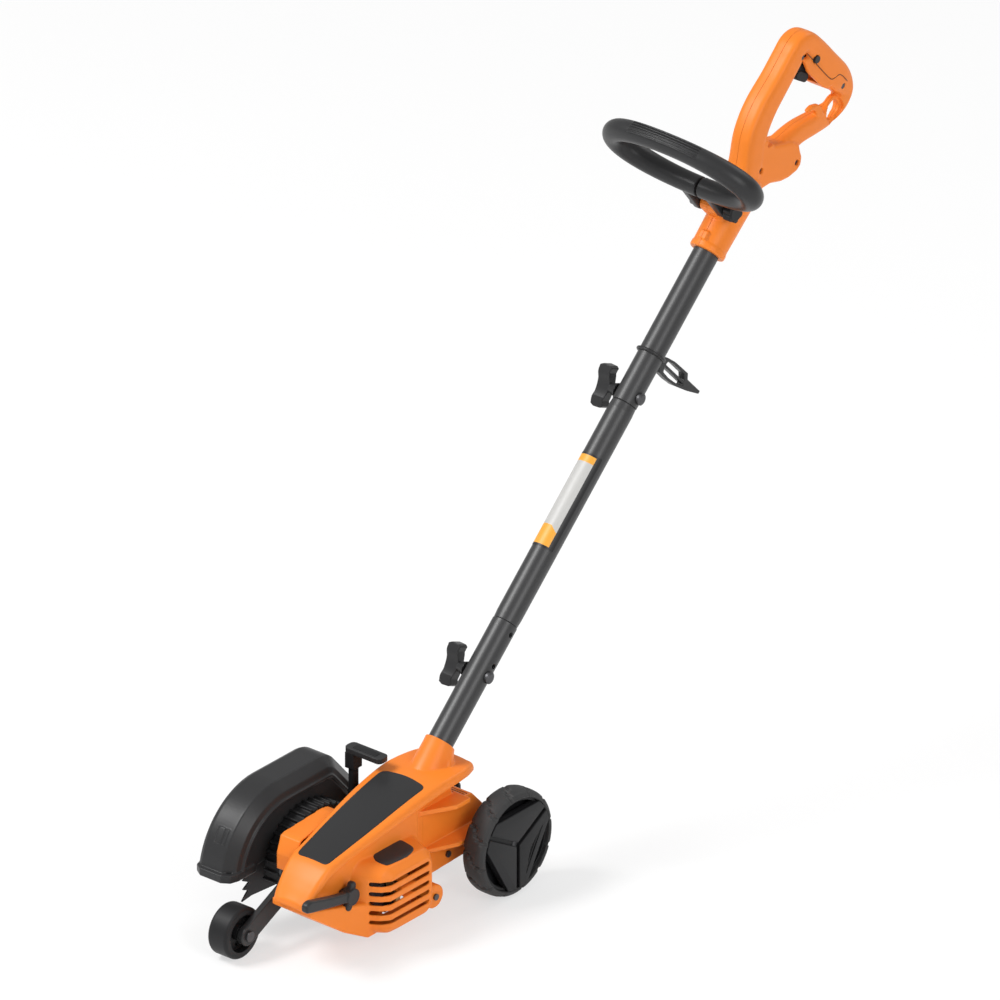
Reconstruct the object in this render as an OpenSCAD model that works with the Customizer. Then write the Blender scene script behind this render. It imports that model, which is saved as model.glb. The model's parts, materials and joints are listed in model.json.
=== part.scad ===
// Corded electric lawn edger: motor head on three wheels, telescopic shaft, D-handle and loop handle.
// Millimetres. +Z up, -Y forward, +X to the operator's left. Origin under the middle of the bounding box.

/* [Shaft] */
// Elevation of the shaft above the ground, degrees
shaft_elevation = 43; // [35:0.5:55]
// Outside diameter of the shaft tubes
tube_od = 32; // [25:0.5:38]
// Tube wall
tube_wall = 1.5; // [1:0.1:2.5]
// Travel of the middle tube in the lower tube
slide_travel = 45; // [0:5:60]

/* [Wheels] */
// Rear wheel radius
rear_radius = 67; // [55:1:80]
// Rear wheel width
rear_width = 33; // [22:1:40]
// Rear wheel centre from the shaft plane
rear_track_half = 70; // [60:1:80]
// Front wheel radius
front_radius = 32.5; // [25:0.5:40]
// Front wheel width
front_width = 29; // [20:1:36]

/* [Cutter] */
// Blade radius, 7.5 inch blade
blade_radius = 95; // [80:1:100]
// Blade thickness
blade_thick = 2.5; // [1.5:0.1:4]
// Guard crown radius
guard_radius = 103; // [100:1:115]
// Tooth module of the reduction gear
gear_module = 0.8; // [0.6:0.1:1]
// Teeth on the motor pinion
pinion_teeth = 10; // [8:1:14]
// Teeth on the spindle gear
wheel_teeth = 40; // [30:1:48]

/* [Housing] */
// Moulded wall thickness
wall = 3; // [2:0.1:4]
// Number of cooling slots in the motor housing
vent_count = 5; // [3:1:6]
// Pitch of the cooling slots
vent_pitch = 12.6; // [10:0.1:14]

/* [Handles] */
// Half width of the loop handle centre line
loop_half_width = 98.15; // [80:0.1:110]
// Half depth of the loop handle centre line
loop_half_depth = 49; // [42:0.5:60]
// Radius of the loop handle grip
loop_grip = 12.8; // [11:0.5:16]

/* [Hidden] */
$fn = 48;
shift_x = -17.5;
shift_y = 175.35;
tube_r = tube_od / 2;
tube_in = tube_r - tube_wall;
insert_r = tube_in - 0.2;
insert_in = insert_r - tube_wall;
// shaft stations are distances along the shaft from this point
shaft_foot = [0, -16.8, 212];
seat_low = -110;
joint_low = 131;
bolt_low = 62.5;
spare_holes = [77, 120];
joint_top = 431;
hook_at = 498;
bolt_top = 442.7;
shaft_end = 745;
axle_z = rear_radius;
front_y = -328;
front_x = -74;
arm_y = -250;
arm_z = 85;
lever_y = -75;
lever_z = 98;
spindle_y = -181;
spindle_z = 56.3;
gear_centre = gear_module * (pinion_teeth + wheel_teeth) / 2;
motor_lean = 20.5;
motor_y = spindle_y + gear_centre * sin(motor_lean);
motor_z = spindle_z + gear_centre * cos(motor_lean);
guard_near = 94;
guard_far = 146;
guard_front = -210;
guard_rear = -151;
guard_z = 70.5;
blade_x = -106;
panel_rear = -104;
panel_front = -274;
panel_slope = atan(41 / 170);
vent_low = motor_z - 35;
aux_y = 459.6;
aux_z = 707;
aux_reach = [-54.2, 72.8];
loop_lean = 0.07;
stem_y = -108;
stem_x = -76;
trigger_y = 636;
trigger_z = 852;
button_y = 634;
button_z = 836;
orange = [0.95, 0.45, 0.12];
dark = [0.22, 0.22, 0.23];
black = [0.08, 0.08, 0.09];
steel = [0.7, 0.71, 0.73];
copper = [0.72, 0.45, 0.2];

// every node is drawn in working axes and moved to the record origin
module place() {
  translate([-shift_x, -shift_y, 0]) children();
}

// axes with Z along the shaft and +Y toward its underside
module on_shaft(s) {
  translate(shaft_foot) rotate([shaft_elevation - 90, 0, 0]) translate([0, 0, s]) children();
}

// axes with Z along -X, X up and Y to the rear
module across(x, y, z) {
  translate([x, y, z]) rotate([0, -90, 0]) children();
}

// axial cylinder between two X positions
module bar_x(x0, x1, y, z, r) {
  translate([min(x0, x1), y, z]) rotate([0, 90, 0]) cylinder(h = abs(x1 - x0), r = r);
}

// solid of a side-view outline in Y and Z between two X positions
module slab_x(x0, x1) {
  translate([x0, 0, 0]) rotate([90, 0, 90]) linear_extrude(x1 - x0) children();
}

// straight bar with round ends in side view
module link2d(a, b, w) {
  d = b - a;
  translate(a) circle(r = w);
  translate(b) circle(r = w);
  translate(a) rotate(atan2(d[1], d[0])) translate([0, 0.05 - w]) square([norm(d), 2 * w - 0.1]);
}

// rectangle with round corners about its centre
module round2d(sx, sy, r) {
  square([sx - 2 * r, sy], center = true);
  square([sx, sy - 2 * r], center = true);
  for (i = [-1, 1], j = [-1, 1]) translate([i * (sx / 2 - r), j * (sy / 2 - r)]) circle(r = r);
}

// closed skin over wall sections (outer half, then inner half back); ring joins the last loop to the first
module skin(loops, ring = false) {
  n = len(loops[0]);
  m = len(loops);
  last = ring ? m - 1 : m - 2;
  pts = [for (l = loops, p = l) p];
  sides = [for (k = [0:last], i = [0:n - 1])
    let (a = k * n + i, b = k * n + (i + 1) % n, k2 = (k + 1) % m, c = k2 * n + (i + 1) % n, d = k2 * n + i)
    each ring ? [[a, b, c], [a, c, d]] : [[a, c, b], [a, d, c]]];
  e = (m - 1) * n;
  caps = ring ? [] : [for (i = [0:n / 2 - 2])
    let (f = n - 1 - i) each [[i, i + 1, f], [i + 1, f - 1, f], [e + i, e + f, e + i + 1], [e + i + 1,
      e + f, e + f - 1]]];
  polyhedron(points = pts, faces = concat(sides, caps), convexity = 8);
}

// point on a smooth curve through p at parameter u, clamped at the ends
function curve(p, u) =
  let (n = len(p), i = min(floor(u), n - 2), t = u - i,
    a = p[max(i - 1, 0)], b = p[i], c = p[i + 1], d = p[min(i + 2, n - 1)])
  0.5 * (2 * b + (c - a) * t + (2 * a - 5 * b + 4 * c - d) * t * t + (3 * b - a - 3 * c + d) * t * t * t);

function soften(v, e) = sign(v) * pow(abs(v), e);

// outer crown of the spine at one station: [y, top, half width, skirt depth, taper of the side]
function spine_half(st, inset) =
  let (w = st[2] - inset, t = st[1] - inset, b = st[1] - st[3], s = st[4])
  [[w - 0.8, b], [w, b + 0.15 * st[3]], [w - 0.16 * s, t - 0.45 * st[3]], [w - 0.5 * s,
    t - 0.12 * st[3]], [w - s, t]];
function spine_ring(st) =
  let (o = spine_half(st, 0), i = spine_half(st, wall), y = st[0])
  concat([for (k = [0:4]) [o[k][0], y, o[k][1]]], [for (k = [4:-1:0]) [-o[k][0], y, o[k][1]]],
    [for (k = [0:4]) [-i[k][0], y, i[k][1]]], [for (k = [4:-1:0]) [i[k][0], y, i[k][1]]]);
spine_stations = [[-18, 166, 34, 10, 6.5], [-40, 169, 42, 11, 6.5], [-75, 171, 45.5, 12.5, 6.5], [-104,
  171, 45.5, 13, 6.5],
  [-150, 159.9, 43, 11, 6.5], [-208, 145.9, 37, 10, 6.5], [-245, 137, 33, 10, 6.5], [-274, 130, 31, 11,
    6.5],
  [-290, 118.5, 30, 12, 8], [-302, 106.5, 28.5, 13, 9.5], [-311, 96, 26, 9, 10], [-315.5, 91, 23, 8.2,
    9.5]];

module panel2d(grow) {
  a = 23 + grow;
  b = 34 + grow;
  l = 174.9 + 2 * grow;
  r = 5;
  difference() {
    union() {
      polygon([[-a + r, 0], [a - r, 0], [a, r], [b, l - r], [b - r, l], [-b + r, l], [-b, l - r], [-a, r]]);
      for (i = [-1, 1]) {
        translate([i * (a - r), r]) circle(r = r);
        translate([i * (b - r), l - r]) circle(r = r);
      }
    }
    translate([-50, -10 - grow]) square([100, 10]);
  }
}

// axes on the sloping top, Y running back along it from the front edge of the panel
module on_panel() {
  translate([0, panel_front, 130]) rotate([panel_slope, 0, 0]) children();
}

module spine_cover() {
  color(orange) place() difference() {
    union() {
      skin([for (s = spine_stations) spine_ring(s)]);
      hull() {
        on_shaft(-34) cylinder(h = 3, r = 19, $fn = 32);
        translate([0, -77, 160.5]) linear_extrude(2) round2d(46, 40, 14, $fn = 32);
        translate([0, -34, 160.5]) linear_extrude(2) round2d(62, 24, 10, $fn = 32);
      }
    }
    on_shaft(seat_low - 40) cylinder(h = 220, r = tube_r + 0.05);
    translate([0, 0, -1.2]) on_panel() translate([0, -0.2, 0]) linear_extrude(8) panel2d(0.2);
  }
}

module top_panel() {
  color(dark) place() translate([0, 0, -1.1]) on_panel() linear_extrude(1.4) panel2d(0);
}

// rounded slab in side view used to build the housing
module side_slab(x, t, y0, y1, z0, z1, r) {
  translate([x, (y0 + y1) / 2, (z0 + z1) / 2]) rotate([90, 0, 90])
    linear_extrude(t) round2d(y1 - y0, z1 - z0, r, $fn = 32);
}

module cross_block(y, t, half, z0, z1) {
  translate([-half, y, z0]) cube([2 * half, t, z1 - z0]);
}

module housing_body(i) {
  hull() {
    cross_block(-303 + i, 1, 17 - i, 72 + i, 97 - i);
    cross_block(-250, 1, 27 - i, 38 + i, 127 - i);
    cross_block(-195, 1, 32.5 - i, 21 + i, 141 - i);
    cross_block(-119 - i, 1, 32.5 - i, 42 + i, 157 - i);
  }
  hull() {
    side_slab(24, 1, -240 + i, -120 - i, 22 + i, 118 - i, 20);
    side_slab(58, 1, -219 + i, -127 - i, 24 + i, 110.7 - i, 18);
    side_slab(66 - i, 1, -209 + i, -134 - i, 30 + i, 102 - i, 14);
  }
  hull() {
    translate([-33 + i, -307 + i, 74 + i]) cube([59 - 2 * i, 1, 8.4 - 2 * i]);
    translate([-24 + i, -258, 38 + i]) cube([61 - 2 * i, 20, 28 - 2 * i]);
    translate([-30 + i, -228, 23 + i]) cube([78 - 2 * i, 14, 44 - 2 * i]);
  }
}

module lower_housing() {
  color(orange) place() difference() {
    union() {
      difference() {
        housing_body(0);
        housing_body(wall);
        // motor passage toward the gear case
        bar_x(-40, -20, motor_y, motor_z, 11);
        // slot row round the side and the front corner
        for (k = [0:vent_count - 1]) translate([0, 0, vent_low + k * vent_pitch])
          translate([52, motor_y - 52, 0]) cube([30, 88, 4.6]);
        on_shaft(seat_low - 40) cylinder(h = 120, r = 23);
        // slot floor for the badge
        on_dome() translate([0, 0, -1.5]) linear_extrude(8) badge2d(0.15);
      }
      // round screw boss at the lower rear corner
      difference() {
        bar_x(34, 65, -126, 42, 15);
        bar_x(30, 62, -126, 42, 12);
      }
      // cowl over the front arm's pivot, running back beside the spine
      difference() {
        union() {
          slab_x(-63.5, -28) polygon([[-263.5, 92], [-263.5, 113], [-256, 134], [-250, 136], [-182,
            139.5], [-170, 137.5],
            [-170, 134.5], [-182, 136.5], [-249, 133], [-253.5, 131.5], [-260.8, 112], [-260.8, 92]]);
          slab_x(-49.5, -24) polygon([[-263.5, 74], [-263.5, 93], [-260.8, 93], [-260.8, 74]]);
        }
        translate([0, 0, 118]) linear_extrude(50)
          polygon([[-20, -300], [-31.9, -272], [-34.2, -245], [-38.2, -207], [-40, -188], [-20, -188]]);
      }
      // saddle for the stator
      difference() {
        bar_x(-2, 30, motor_y, motor_z, 39);
        bar_x(-3, 31, motor_y, motor_z, 36.05);
      }
      translate([-2, motor_y - 2, 28.5]) cube([32, 4, 9]);
      // rear bearing seat
      difference() {
        bar_x(50, 65, motor_y, motor_z, 13);
        bar_x(49, 59.2, motor_y, motor_z, 10.05);
      }
    }
    bar_x(-60, 60, arm_y, arm_z, 5.1);
    bar_x(-40, -24, motor_y, motor_z, 11.05);
    bar_x(20, 70, -126, 42, 2.1);
  }
}

module badge2d(grow) {
  polygon([[-17.5 - grow, -15 - grow], [-3, -30 - grow], [12 + grow, -26 - grow], [15 + grow, 8], [9,
    26 + grow],
    [-14 - grow, 24 + grow]]);
}

// axes on the upper facet of the motor dome
module on_dome() {
  translate([43, -176, 114]) rotate([0, atan(7.3 / 33), 0]) children();
}

module motor_badge() {
  color(dark) place() on_dome() translate([0, 0, -1.4]) linear_extrude(1.6) badge2d(0);
}

module housing_screws() {
  color(steel) place() {
    bar_x(40, 65.1, -126, 42, 2);
    bar_x(65.1, 67.5, -126, 42, 4);
    for (p = [[-106, 66], [-60, 60]]) {
      bar_x(28.4, 31, p[0], p[1], 4);
      bar_x(20, 28.4, p[0], p[1], 2);
    }
  }
}

module chassis_side(i) {
  polygon([[-117 + i, 44 + i], [-30, 47 + i], [14, 50 + i], [24 - i, 58], [24 - i, 74], [10 - i, 96],
    [-14 - i, 122],
    [-50 - i, 128], [-54 - i, 155 - i], [-117 + i, 155 - i]]);
}

module chassis() {
  color(orange) place() difference() {
    union() {
      difference() {
        slab_x(-28, 28) chassis_side(0);
        slab_x(-28 + wall, 28 - wall) chassis_side(wall);
      }
      // flanges that carry the left wheel
      translate([0, 0, 131]) linear_extrude(6) polygon([[26, -112], [29, -112], [52, -70], [52, -46],
        [26, -46]]);
      translate([0, 0, 80]) linear_extrude(5) polygon([[26, -116], [29, -116], [52, -66], [52, 14], [26,
        20]]);
      translate([0, 0, 82]) linear_extrude(50)
        polygon([[26, -114], [28.5, -114], [50, -68], [50, -48], [46.5, -48], [46.5, -67], [26, -110]]);
      // axle tube
      bar_x(-36, 51, 0, axle_z, 14);
      // pivot boss of the depth lever
      bar_x(-36.5, -26, lever_y, lever_z, 11);
      // shaft socket
      intersection() {
        on_shaft(seat_low - 4) cylinder(h = 100, r = tube_r + 3.5);
        slab_x(-27, 27) chassis_side(0.5);
      }
    }
    on_shaft(seat_low) cylinder(h = 200, r = tube_r + 0.05);
    bar_x(10, 60, 0, axle_z, 6.02);
    bar_x(-50, -24, lever_y, lever_z, 5.02);
    for (p = [[-106, 66], [-60, 60]]) bar_x(18, 32, p[0], p[1], 2.05);
  }
}

module gear_case() {
  color(black) place() difference() {
    union() {
      difference() {
        bar_x(-89.5, -33.5, -178, 65, 36);
        bar_x(-84, -30, -178, 65, 32);
      }
      bar_x(-86, -61, spindle_y, spindle_z, 17);
      // finned drum behind the guard
      difference() {
        union() {
          bar_x(-92.5, -68, spindle_y, 66, 71);
          for (k = [-11:11]) across(-68, spindle_y, 66) rotate(k * 9) translate([70, -1.4, 0]) cube([4.5,
            2.8, 24.5]);
        }
        bar_x(-93, -71, spindle_y, 66, 68);
        bar_x(-95, -60, -178, 65, 34);
        translate([-94, -270, -20]) cube([30, 190, 84]);
      }
      for (k = [0:19]) across(-36, -178, 65) rotate(k * 18 + 4) translate([35, -1.6, 0]) cube([4.5, 3.2,
        50]);
      bar_x(-93, -89, spindle_y, spindle_z, 20);
    }
    bar_x(-94, -30, spindle_y, spindle_z, 9.5);
    bar_x(-91, -62, spindle_y, spindle_z, 14.02);
    for (a = [40, 160, 280]) across(0, -178, 65) rotate(a) translate([30, 0, 80]) cylinder(h = 20,
      r = 2.05);
  }
}

module motor_stator() {
  color(steel) place() difference() {
    bar_x(-1, 36, motor_y, motor_z, 36);
    bar_x(-2, 37, motor_y, motor_z, 21.2);
    for (a = [0, 180]) translate([17.5, motor_y, motor_z]) rotate([a, 0, 0]) translate([0, 0,
      27]) cube([40, 26, 9], center = true);
  }
}

module ring_x(x0, x1, y, z, ro, ri) {
  difference() {
    bar_x(x0, x1, y, z, ro);
    bar_x(x0 - 1, x1 + 1, y, z, ri);
  }
}

module motor_bearings() {
  color(steel) place() {
    ring_x(-31, -24.5, motor_y, motor_z, 11, 4.05);
    ring_x(51.5, 59, motor_y, motor_z, 10, 4.05);
  }
}

module brush_holders() {
  color(copper) place() for (s = [-1, 1])
    translate([44.5, motor_y, motor_z + s * 18.4]) cube([7, 8, 13.4], center = true);
}

// U section of the guard: radius along X, distance from the shaft plane along Y
module guard2d() {
  module block(i) {
    translate([44 - i, guard_near + i]) square([guard_radius - 58 + i, guard_far - guard_near - 2 * i]);
    translate([44, guard_near + 14]) square([guard_radius - 44 - i, guard_far - guard_near - 28]);
    for (z = [guard_near + 14, guard_far - 14]) translate([guard_radius - 14, z]) circle(r = 14 - i);
  }
  difference() {
    block(0);
    block(wall);
    translate([0, guard_far - 8]) square([guard_radius - 30, 10]);
  }
  translate([6, guard_near]) square([76, wall]);
  // moulded shoulder on the side toward the head
  polygon([[80, guard_near + 2], [80, guard_near - 3.5], [82, guard_near - 4.5], [98, guard_near + 3.5],
    [92, guard_near + 3]]);
}

module blade_guard() {
  color(dark) place() difference() {
    union() {
      difference() {
        union() {
          across(0, guard_front, guard_z) rotate(-90) rotate_extrude(angle = 90, $fn = 96) guard2d();
          across(0, guard_rear, guard_z) rotate_extrude(angle = 88, $fn = 96) guard2d();
          translate([0, guard_front, guard_z]) rotate([-90, 0, 0])
            linear_extrude(guard_rear - guard_front) rotate(-90) mirror([0, 1, 0]) rotate(0) guard2d();
        }
        translate([-160, -330, -60]) cube([80, 175, 60 + 86]);
        translate([-160, -156, -60]) cube([80, 110, 60 + 68]);
      }
      // rolled lip along the front edge
      difference() {
        translate([-120, guard_front - guard_radius + 54, 80]) linear_extrude(9.5) difference() {
          round2d(56, 112, 16);
          round2d(49, 105, 12.5);
        }
        translate([-160, guard_front - guard_radius + 46, 60]) cube([80, 90, 50]);
      }
      // side plate on the gear case
      slab_x(-97, -94) difference() {
        translate([spindle_y + 3, 66]) circle(r = 46);
        translate([-178, 66]) circle(r = 0.1);
      }
      // sight mark on the crown
      across(0, guard_front, guard_z) rotate(-61) rotate_extrude(angle = 11, $fn = 96) {
        translate([guard_radius - 2, 119]) square([3, 9]);
        translate([guard_radius - 2, 113]) square([3, 3]);
      }
    }
    bar_x(-100, -90, spindle_y, spindle_z, 20.2);
    for (a = [40, 160, 280]) across(0, -178, 65) rotate(a) translate([30, 0, 80]) cylinder(h = 30, r = 2.1);
  }
}

module guard_screws() {
  color(steel) place() for (a = [40, 160, 280]) across(0, -178, 65) rotate(a) translate([30, 0, 0]) {
    translate([0, 0, 85]) cylinder(h = 12.1, r = 2);
    translate([0, 0, 97.05]) cylinder(h = 2.6, r = 4);
  }
}

module spindle_bearings() {
  color(steel) place() {
    ring_x(-90.5, -81.5, spindle_y, spindle_z, 14, 8.04);
    ring_x(-71.5, -62.5, spindle_y, spindle_z, 14, 8.04);
  }
}

module left_axle() {
  color(steel) place() {
    bar_x(14, rear_track_half + rear_width / 2 - 4, 0, axle_z, 6);
  }
}

module lower_tube() {
  color(dark) place() on_shaft(0) difference() {
    translate([0, 0, seat_low + 0.5]) cylinder(h = joint_low - seat_low - 0.5, r = tube_r);
    translate([0, 0, seat_low - 1]) cylinder(h = 300, r = tube_in);
    translate([-30, 0, bolt_low]) rotate([0, 90, 0]) cylinder(h = 60, r = 3.05);
    for (s = spare_holes) translate([-30, 0, s]) rotate([0, 90, 0]) cylinder(h = 60, r = 3.5);
  }
}

module cross_bolt(s) {
  on_shaft(s) {
    translate([-39.5, 0, 0]) rotate([0, 90, 0]) cylinder(h = 56.5, r = 3);
    translate([tube_r + 0.3, 0, 0]) rotate([0, 90, 0]) cylinder(h = 3, r = 7.5);
    translate([tube_r + 3.3, 0, 0]) rotate([0, 90, 0]) cylinder(h = 1.6, r1 = 7.5, r2 = 5);
  }
}

module lower_bolt() {
  color(steel) place() cross_bolt(bolt_low);
}

module upper_bolt() {
  color(steel) place() cross_bolt(bolt_top);
}

module arm_pivot_bolt() {
  color(steel) place() {
    bar_x(-59.7, 43.5, arm_y, arm_z, 5);
    bar_x(-63.2, -59.7, arm_y, arm_z, 8.5);
  }
}

module depth_lever() {
  color(black) place() difference() {
    union() {
      slab_x(-46, -38.5) link2d([lever_y, lever_z], [0, axle_z], 12);
      slab_x(-45, -39.5) link2d([lever_y, lever_z], [stem_y, lever_z + 30], 8.5);
      // crank out to the upright
      bar_x(stem_x, -41, stem_y, lever_z + 30, 6.5);
      translate([stem_x, stem_y, lever_z + 30]) sphere(r = 7);
      translate([stem_x, stem_y, lever_z + 30]) cylinder(h = 45, r = 6);
      translate([stem_x - 7, stem_y - 8, lever_z + 62]) cube([14, 16, 21]);
      bar_x(-50.5, -40, 0, axle_z, 10);
    }
    bar_x(-50, -30, lever_y, lever_z, 5.05);
    bar_x(-52, -30, 0, axle_z, 6.02);
  }
}

module lever_pad() {
  color(dark) place() translate([stem_x + 20, stem_y, lever_z + 83.05]) linear_extrude(7) round2d(56, 18,
    6);
}

module lever_pivot() {
  color(steel) place() {
    bar_x(-46.4, -28, lever_y, lever_z, 5);
    bar_x(-50, -46.4, lever_y, lever_z, 8);
  }
}

module right_axle() {
  color(steel) place() {
    bar_x(-rear_track_half - rear_width / 2 + 4, -38.7, 0, axle_z, 6);
  }
}

// tyre about the local Z axis, centred on its width
module tyre(r, w) {
  difference() {
    union() {
      rotate_extrude($fn = 96) difference() {
        union() {
          translate([r * 0.76, -w / 2]) square([r * 0.24 - 6, w]);
          translate([r * 0.76, -w / 2 + 6]) square([r * 0.24, w - 12]);
          for (s = [-1, 1]) translate([r - 6, s * (w / 2 - 6)]) circle(r = 6);
        }
        translate([r - 1.4, -1.6]) square([4, 3.2]);
      }
    }
    for (k = [0:29]) rotate(k * 12) for (s = [-1, 1])
      translate([r, 0, s * 7.6]) rotate([s * 28, 0, 0]) cube([3, 2.6, 14], center = true);
  }
}

// moulded wheel centre: three plates split by a Y groove, outer face toward +Z
module hub(r, w) {
  difference() {
    union() {
      cylinder(h = w, r = 14, center = true);
      translate([0, 0, w / 2 - 9]) cylinder(h = 5, r = r);
      difference() {
        translate([0, 0, w / 2 - 9]) cylinder(h = 9.5, r = r);
        for (a = [90, 210, 330]) rotate(a) translate([r * 0.85, -r, w / 2 - 4]) cube([r, 2 * r, 20]);
        for (a = [30, 150, 270]) rotate(a) translate([0, -1.2, w / 2 - 2]) cube([r + 2, 2.4, 10]);
        rotate(330) translate([r * 0.32, -9, w / 2 - 0.8]) cube([18, 18, 5]);
      }
      difference() {
        cylinder(h = w - 6, r = r, center = true);
        cylinder(h = w, r = r - 3, center = true);
      }
    }
    translate([0, 0, -2 * w]) cylinder(h = 2.5 * w - 3.5, r = 6.04);
  }
}

module rear_wheel(x) {
  translate([x, 0, axle_z]) rotate([0, x > 0 ? 90 : -90, 0]) rotate(x > 0 ? 90 : -90) children();
}

module left_tyre() {
  color(black) place() rear_wheel(rear_track_half) tyre(rear_radius, rear_width);
}

module right_tyre() {
  color(black) place() rear_wheel(-rear_track_half) tyre(rear_radius, rear_width);
}

module left_hub() {
  color(black) place() rear_wheel(rear_track_half) hub(rear_radius * 0.76 - 0.05, rear_width);
}

module right_hub() {
  color(black) place() rear_wheel(-rear_track_half) hub(rear_radius * 0.76 - 0.05, rear_width);
}

module front_arm() {
  color(dark) place() difference() {
    union() {
      slab_x(-59, -51) {
        link2d([arm_y, arm_z], [arm_y - 12, arm_z - 21.5], 10.5);
        link2d([arm_y - 12, arm_z - 21.5], [front_y, front_radius], 12.5);
      }
      bar_x(-56, -30, arm_y, arm_z, 9.5);
      bar_x(-62, -53, front_y, front_radius, 10);
    }
    bar_x(-70, -20, arm_y, arm_z, 5.05);
    bar_x(-70, -20, front_y, front_radius, 4.02);
  }
}

module front_axle() {
  color(steel) place() {
    bar_x(-90, -50, front_y, front_radius, 4);
    bar_x(-50.9, -48, front_y, front_radius, 6.5);
    bar_x(-92, -89.2, front_y, front_radius, 7);
  }
}

module front_wheel() {
  color(black) place() translate([front_x, front_y, front_radius]) rotate([0, 90, 0]) difference() {
    rotate_extrude($fn = 96) {
      translate([front_radius - 9, -front_width / 2]) square([5, front_width]);
      translate([front_radius - 9, -front_width / 2 + 4]) square([9, front_width - 8]);
      for (s = [-1, 1]) translate([front_radius - 4, s * (front_width / 2 - 4)]) circle(r = 4);
      translate([4.05, -4]) square([front_radius - 12, 8]);
      translate([4.05, -front_width / 2]) square([6, front_width - 3]);
    }
    for (a = [0:60:300]) rotate(a) translate([16, 0, -10]) cylinder(h = 20, r = 3.2);
  }
}

module clamp_lever() {
  color(dark) place() difference() {
    union() {
      bar_x(32, 44, arm_y, arm_z, 10.5);
      hull() {
        bar_x(33.5, 43.5, arm_y, arm_z, 9.5);
        bar_x(35, 43.5, arm_y - 79, arm_z + 16, 6.5);
      }
    }
    bar_x(20, 60, arm_y, arm_z, 5.05);
  }
}

module armature() {
  color(steel) place() {
    difference() {
      bar_x(0, 35, motor_y, motor_z, 20);
      for (a = [0:30:330]) translate([17.5, motor_y, motor_z]) rotate([a, 0, 0]) translate([0, 0,
        19]) cube([40, 2, 6], center = true);
    }
    bar_x(-57.5, 0.5, motor_y, motor_z, 2.4);
    bar_x(-42, 59, motor_y, motor_z, 4);
  }
}

module commutator() {
  color(copper) place() ring_x(38.5, 50, motor_y, motor_z, 11, 4.02);
}

module cooling_fan() {
  color(black) place() {
    ring_x(-17, -7, motor_y, motor_z, 8, 4.02);
    ring_x(-17, -15, motor_y, motor_z, 31, 7.5);
    for (a = [0:30:330]) translate([-11, motor_y, motor_z]) rotate([a, 0, 0]) translate([0, 0,
      19]) cube([9, 1.6, 23], center = true);
  }
}

// involute spur gear outline
function inv_point(rb, t) = rb * [cos(t) + t * PI / 180 * sin(t), sin(t) - t * PI / 180 * cos(t)];
function turn(p, a) = [p[0] * cos(a) - p[1] * sin(a), p[0] * sin(a) + p[1] * cos(a)];
module gear2d(n, m, play) {
  rp = n * m / 2;
  rb = rp * cos(20);
  ra = rp + 0.9 * m;
  rf = rp - 1.2 * m;
  ta = sqrt(pow(ra / rb, 2) - 1) * 180 / PI;
  half = 90 / n - play / rp * 180 / PI + (tan(20) * 180 / PI - 20);
  flank = [for (k = [0:5]) turn(inv_point(rb, ta * k / 5), -half)];
  back = [for (k = [5:-1:0]) [flank[k][0], -flank[k][1]]];
  foot = [turn([rf, 0], -min(half, 170 / n))];
  foot2 = [turn([rf, 0], min(half, 170 / n))];
  polygon([for (i = [0:n - 1]) each [for (p = concat(foot, flank, back, foot2)) turn(p, i * 360 / n)]]);
}

module pinion() {
  color(steel) place() across(-44, motor_y, motor_z) linear_extrude(13) difference() {
    rotate(motor_lean + 180 / pinion_teeth) gear2d(pinion_teeth, gear_module, 0.09);
    circle(r = 2.42);
  }
}

module drive_gear() {
  color(steel) place() across(-44.5, spindle_y, spindle_z) difference() {
    linear_extrude(12) rotate(motor_lean) gear2d(wheel_teeth, gear_module, 0.09);
    translate([0, 0, -1]) cylinder(h = 20, r = 8.02);
  }
}

module spindle() {
  color(steel) place() {
    bar_x(-101, -38, spindle_y, spindle_z, 8);
    bar_x(-122, -100, spindle_y, spindle_z, 6);
  }
}

module blade() {
  color(black) place() across(blade_x + blade_thick / 2, spindle_y,
    spindle_z) rotate(93) linear_extrude(blade_thick)
    difference() {
      for (s = [0, 180]) rotate(s) polygon([[0, -22], [78, -20], [95, -23], [84, -11], [93.5, -8], [83,
        -1], [94.5, 4],
        [84, 11], [92, 20], [60, 22], [0, 22]]);
      circle(r = 6.05);
    }
}

module blade_flanges() {
  color(steel) place() {
    ring_x(blade_x + blade_thick / 2 + 0.05, -101.05, spindle_y, spindle_z, 17, 6.04);
    ring_x(blade_x - blade_thick / 2 - 3.5, blade_x - blade_thick / 2 - 0.05, spindle_y, spindle_z, 17,
      6.04);
  }
}

module blade_nut() {
  color(steel) place() across(blade_x - blade_thick / 2 - 3.6, spindle_y, spindle_z) difference() {
    cylinder(h = 8, r = 10.5, $fn = 6);
    translate([0, 0, -1]) cylinder(h = 12, r = 6.02);
  }
}

// tube profile with a drawn-down end that enters the next tube; the end at s0 is drawn below the seam s1
function drawn_end(s0, s1, dir) = [[insert_r, s0], [insert_r, s1], [tube_r - 0.6, s1 + dir], [tube_r,
  s1 + 10 * dir]];
function drawn_bore(s0, s1, dir) = [[tube_in, s1 + 12 * dir], [insert_in, s1 + 4 * dir], [insert_in, s0]];

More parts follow.
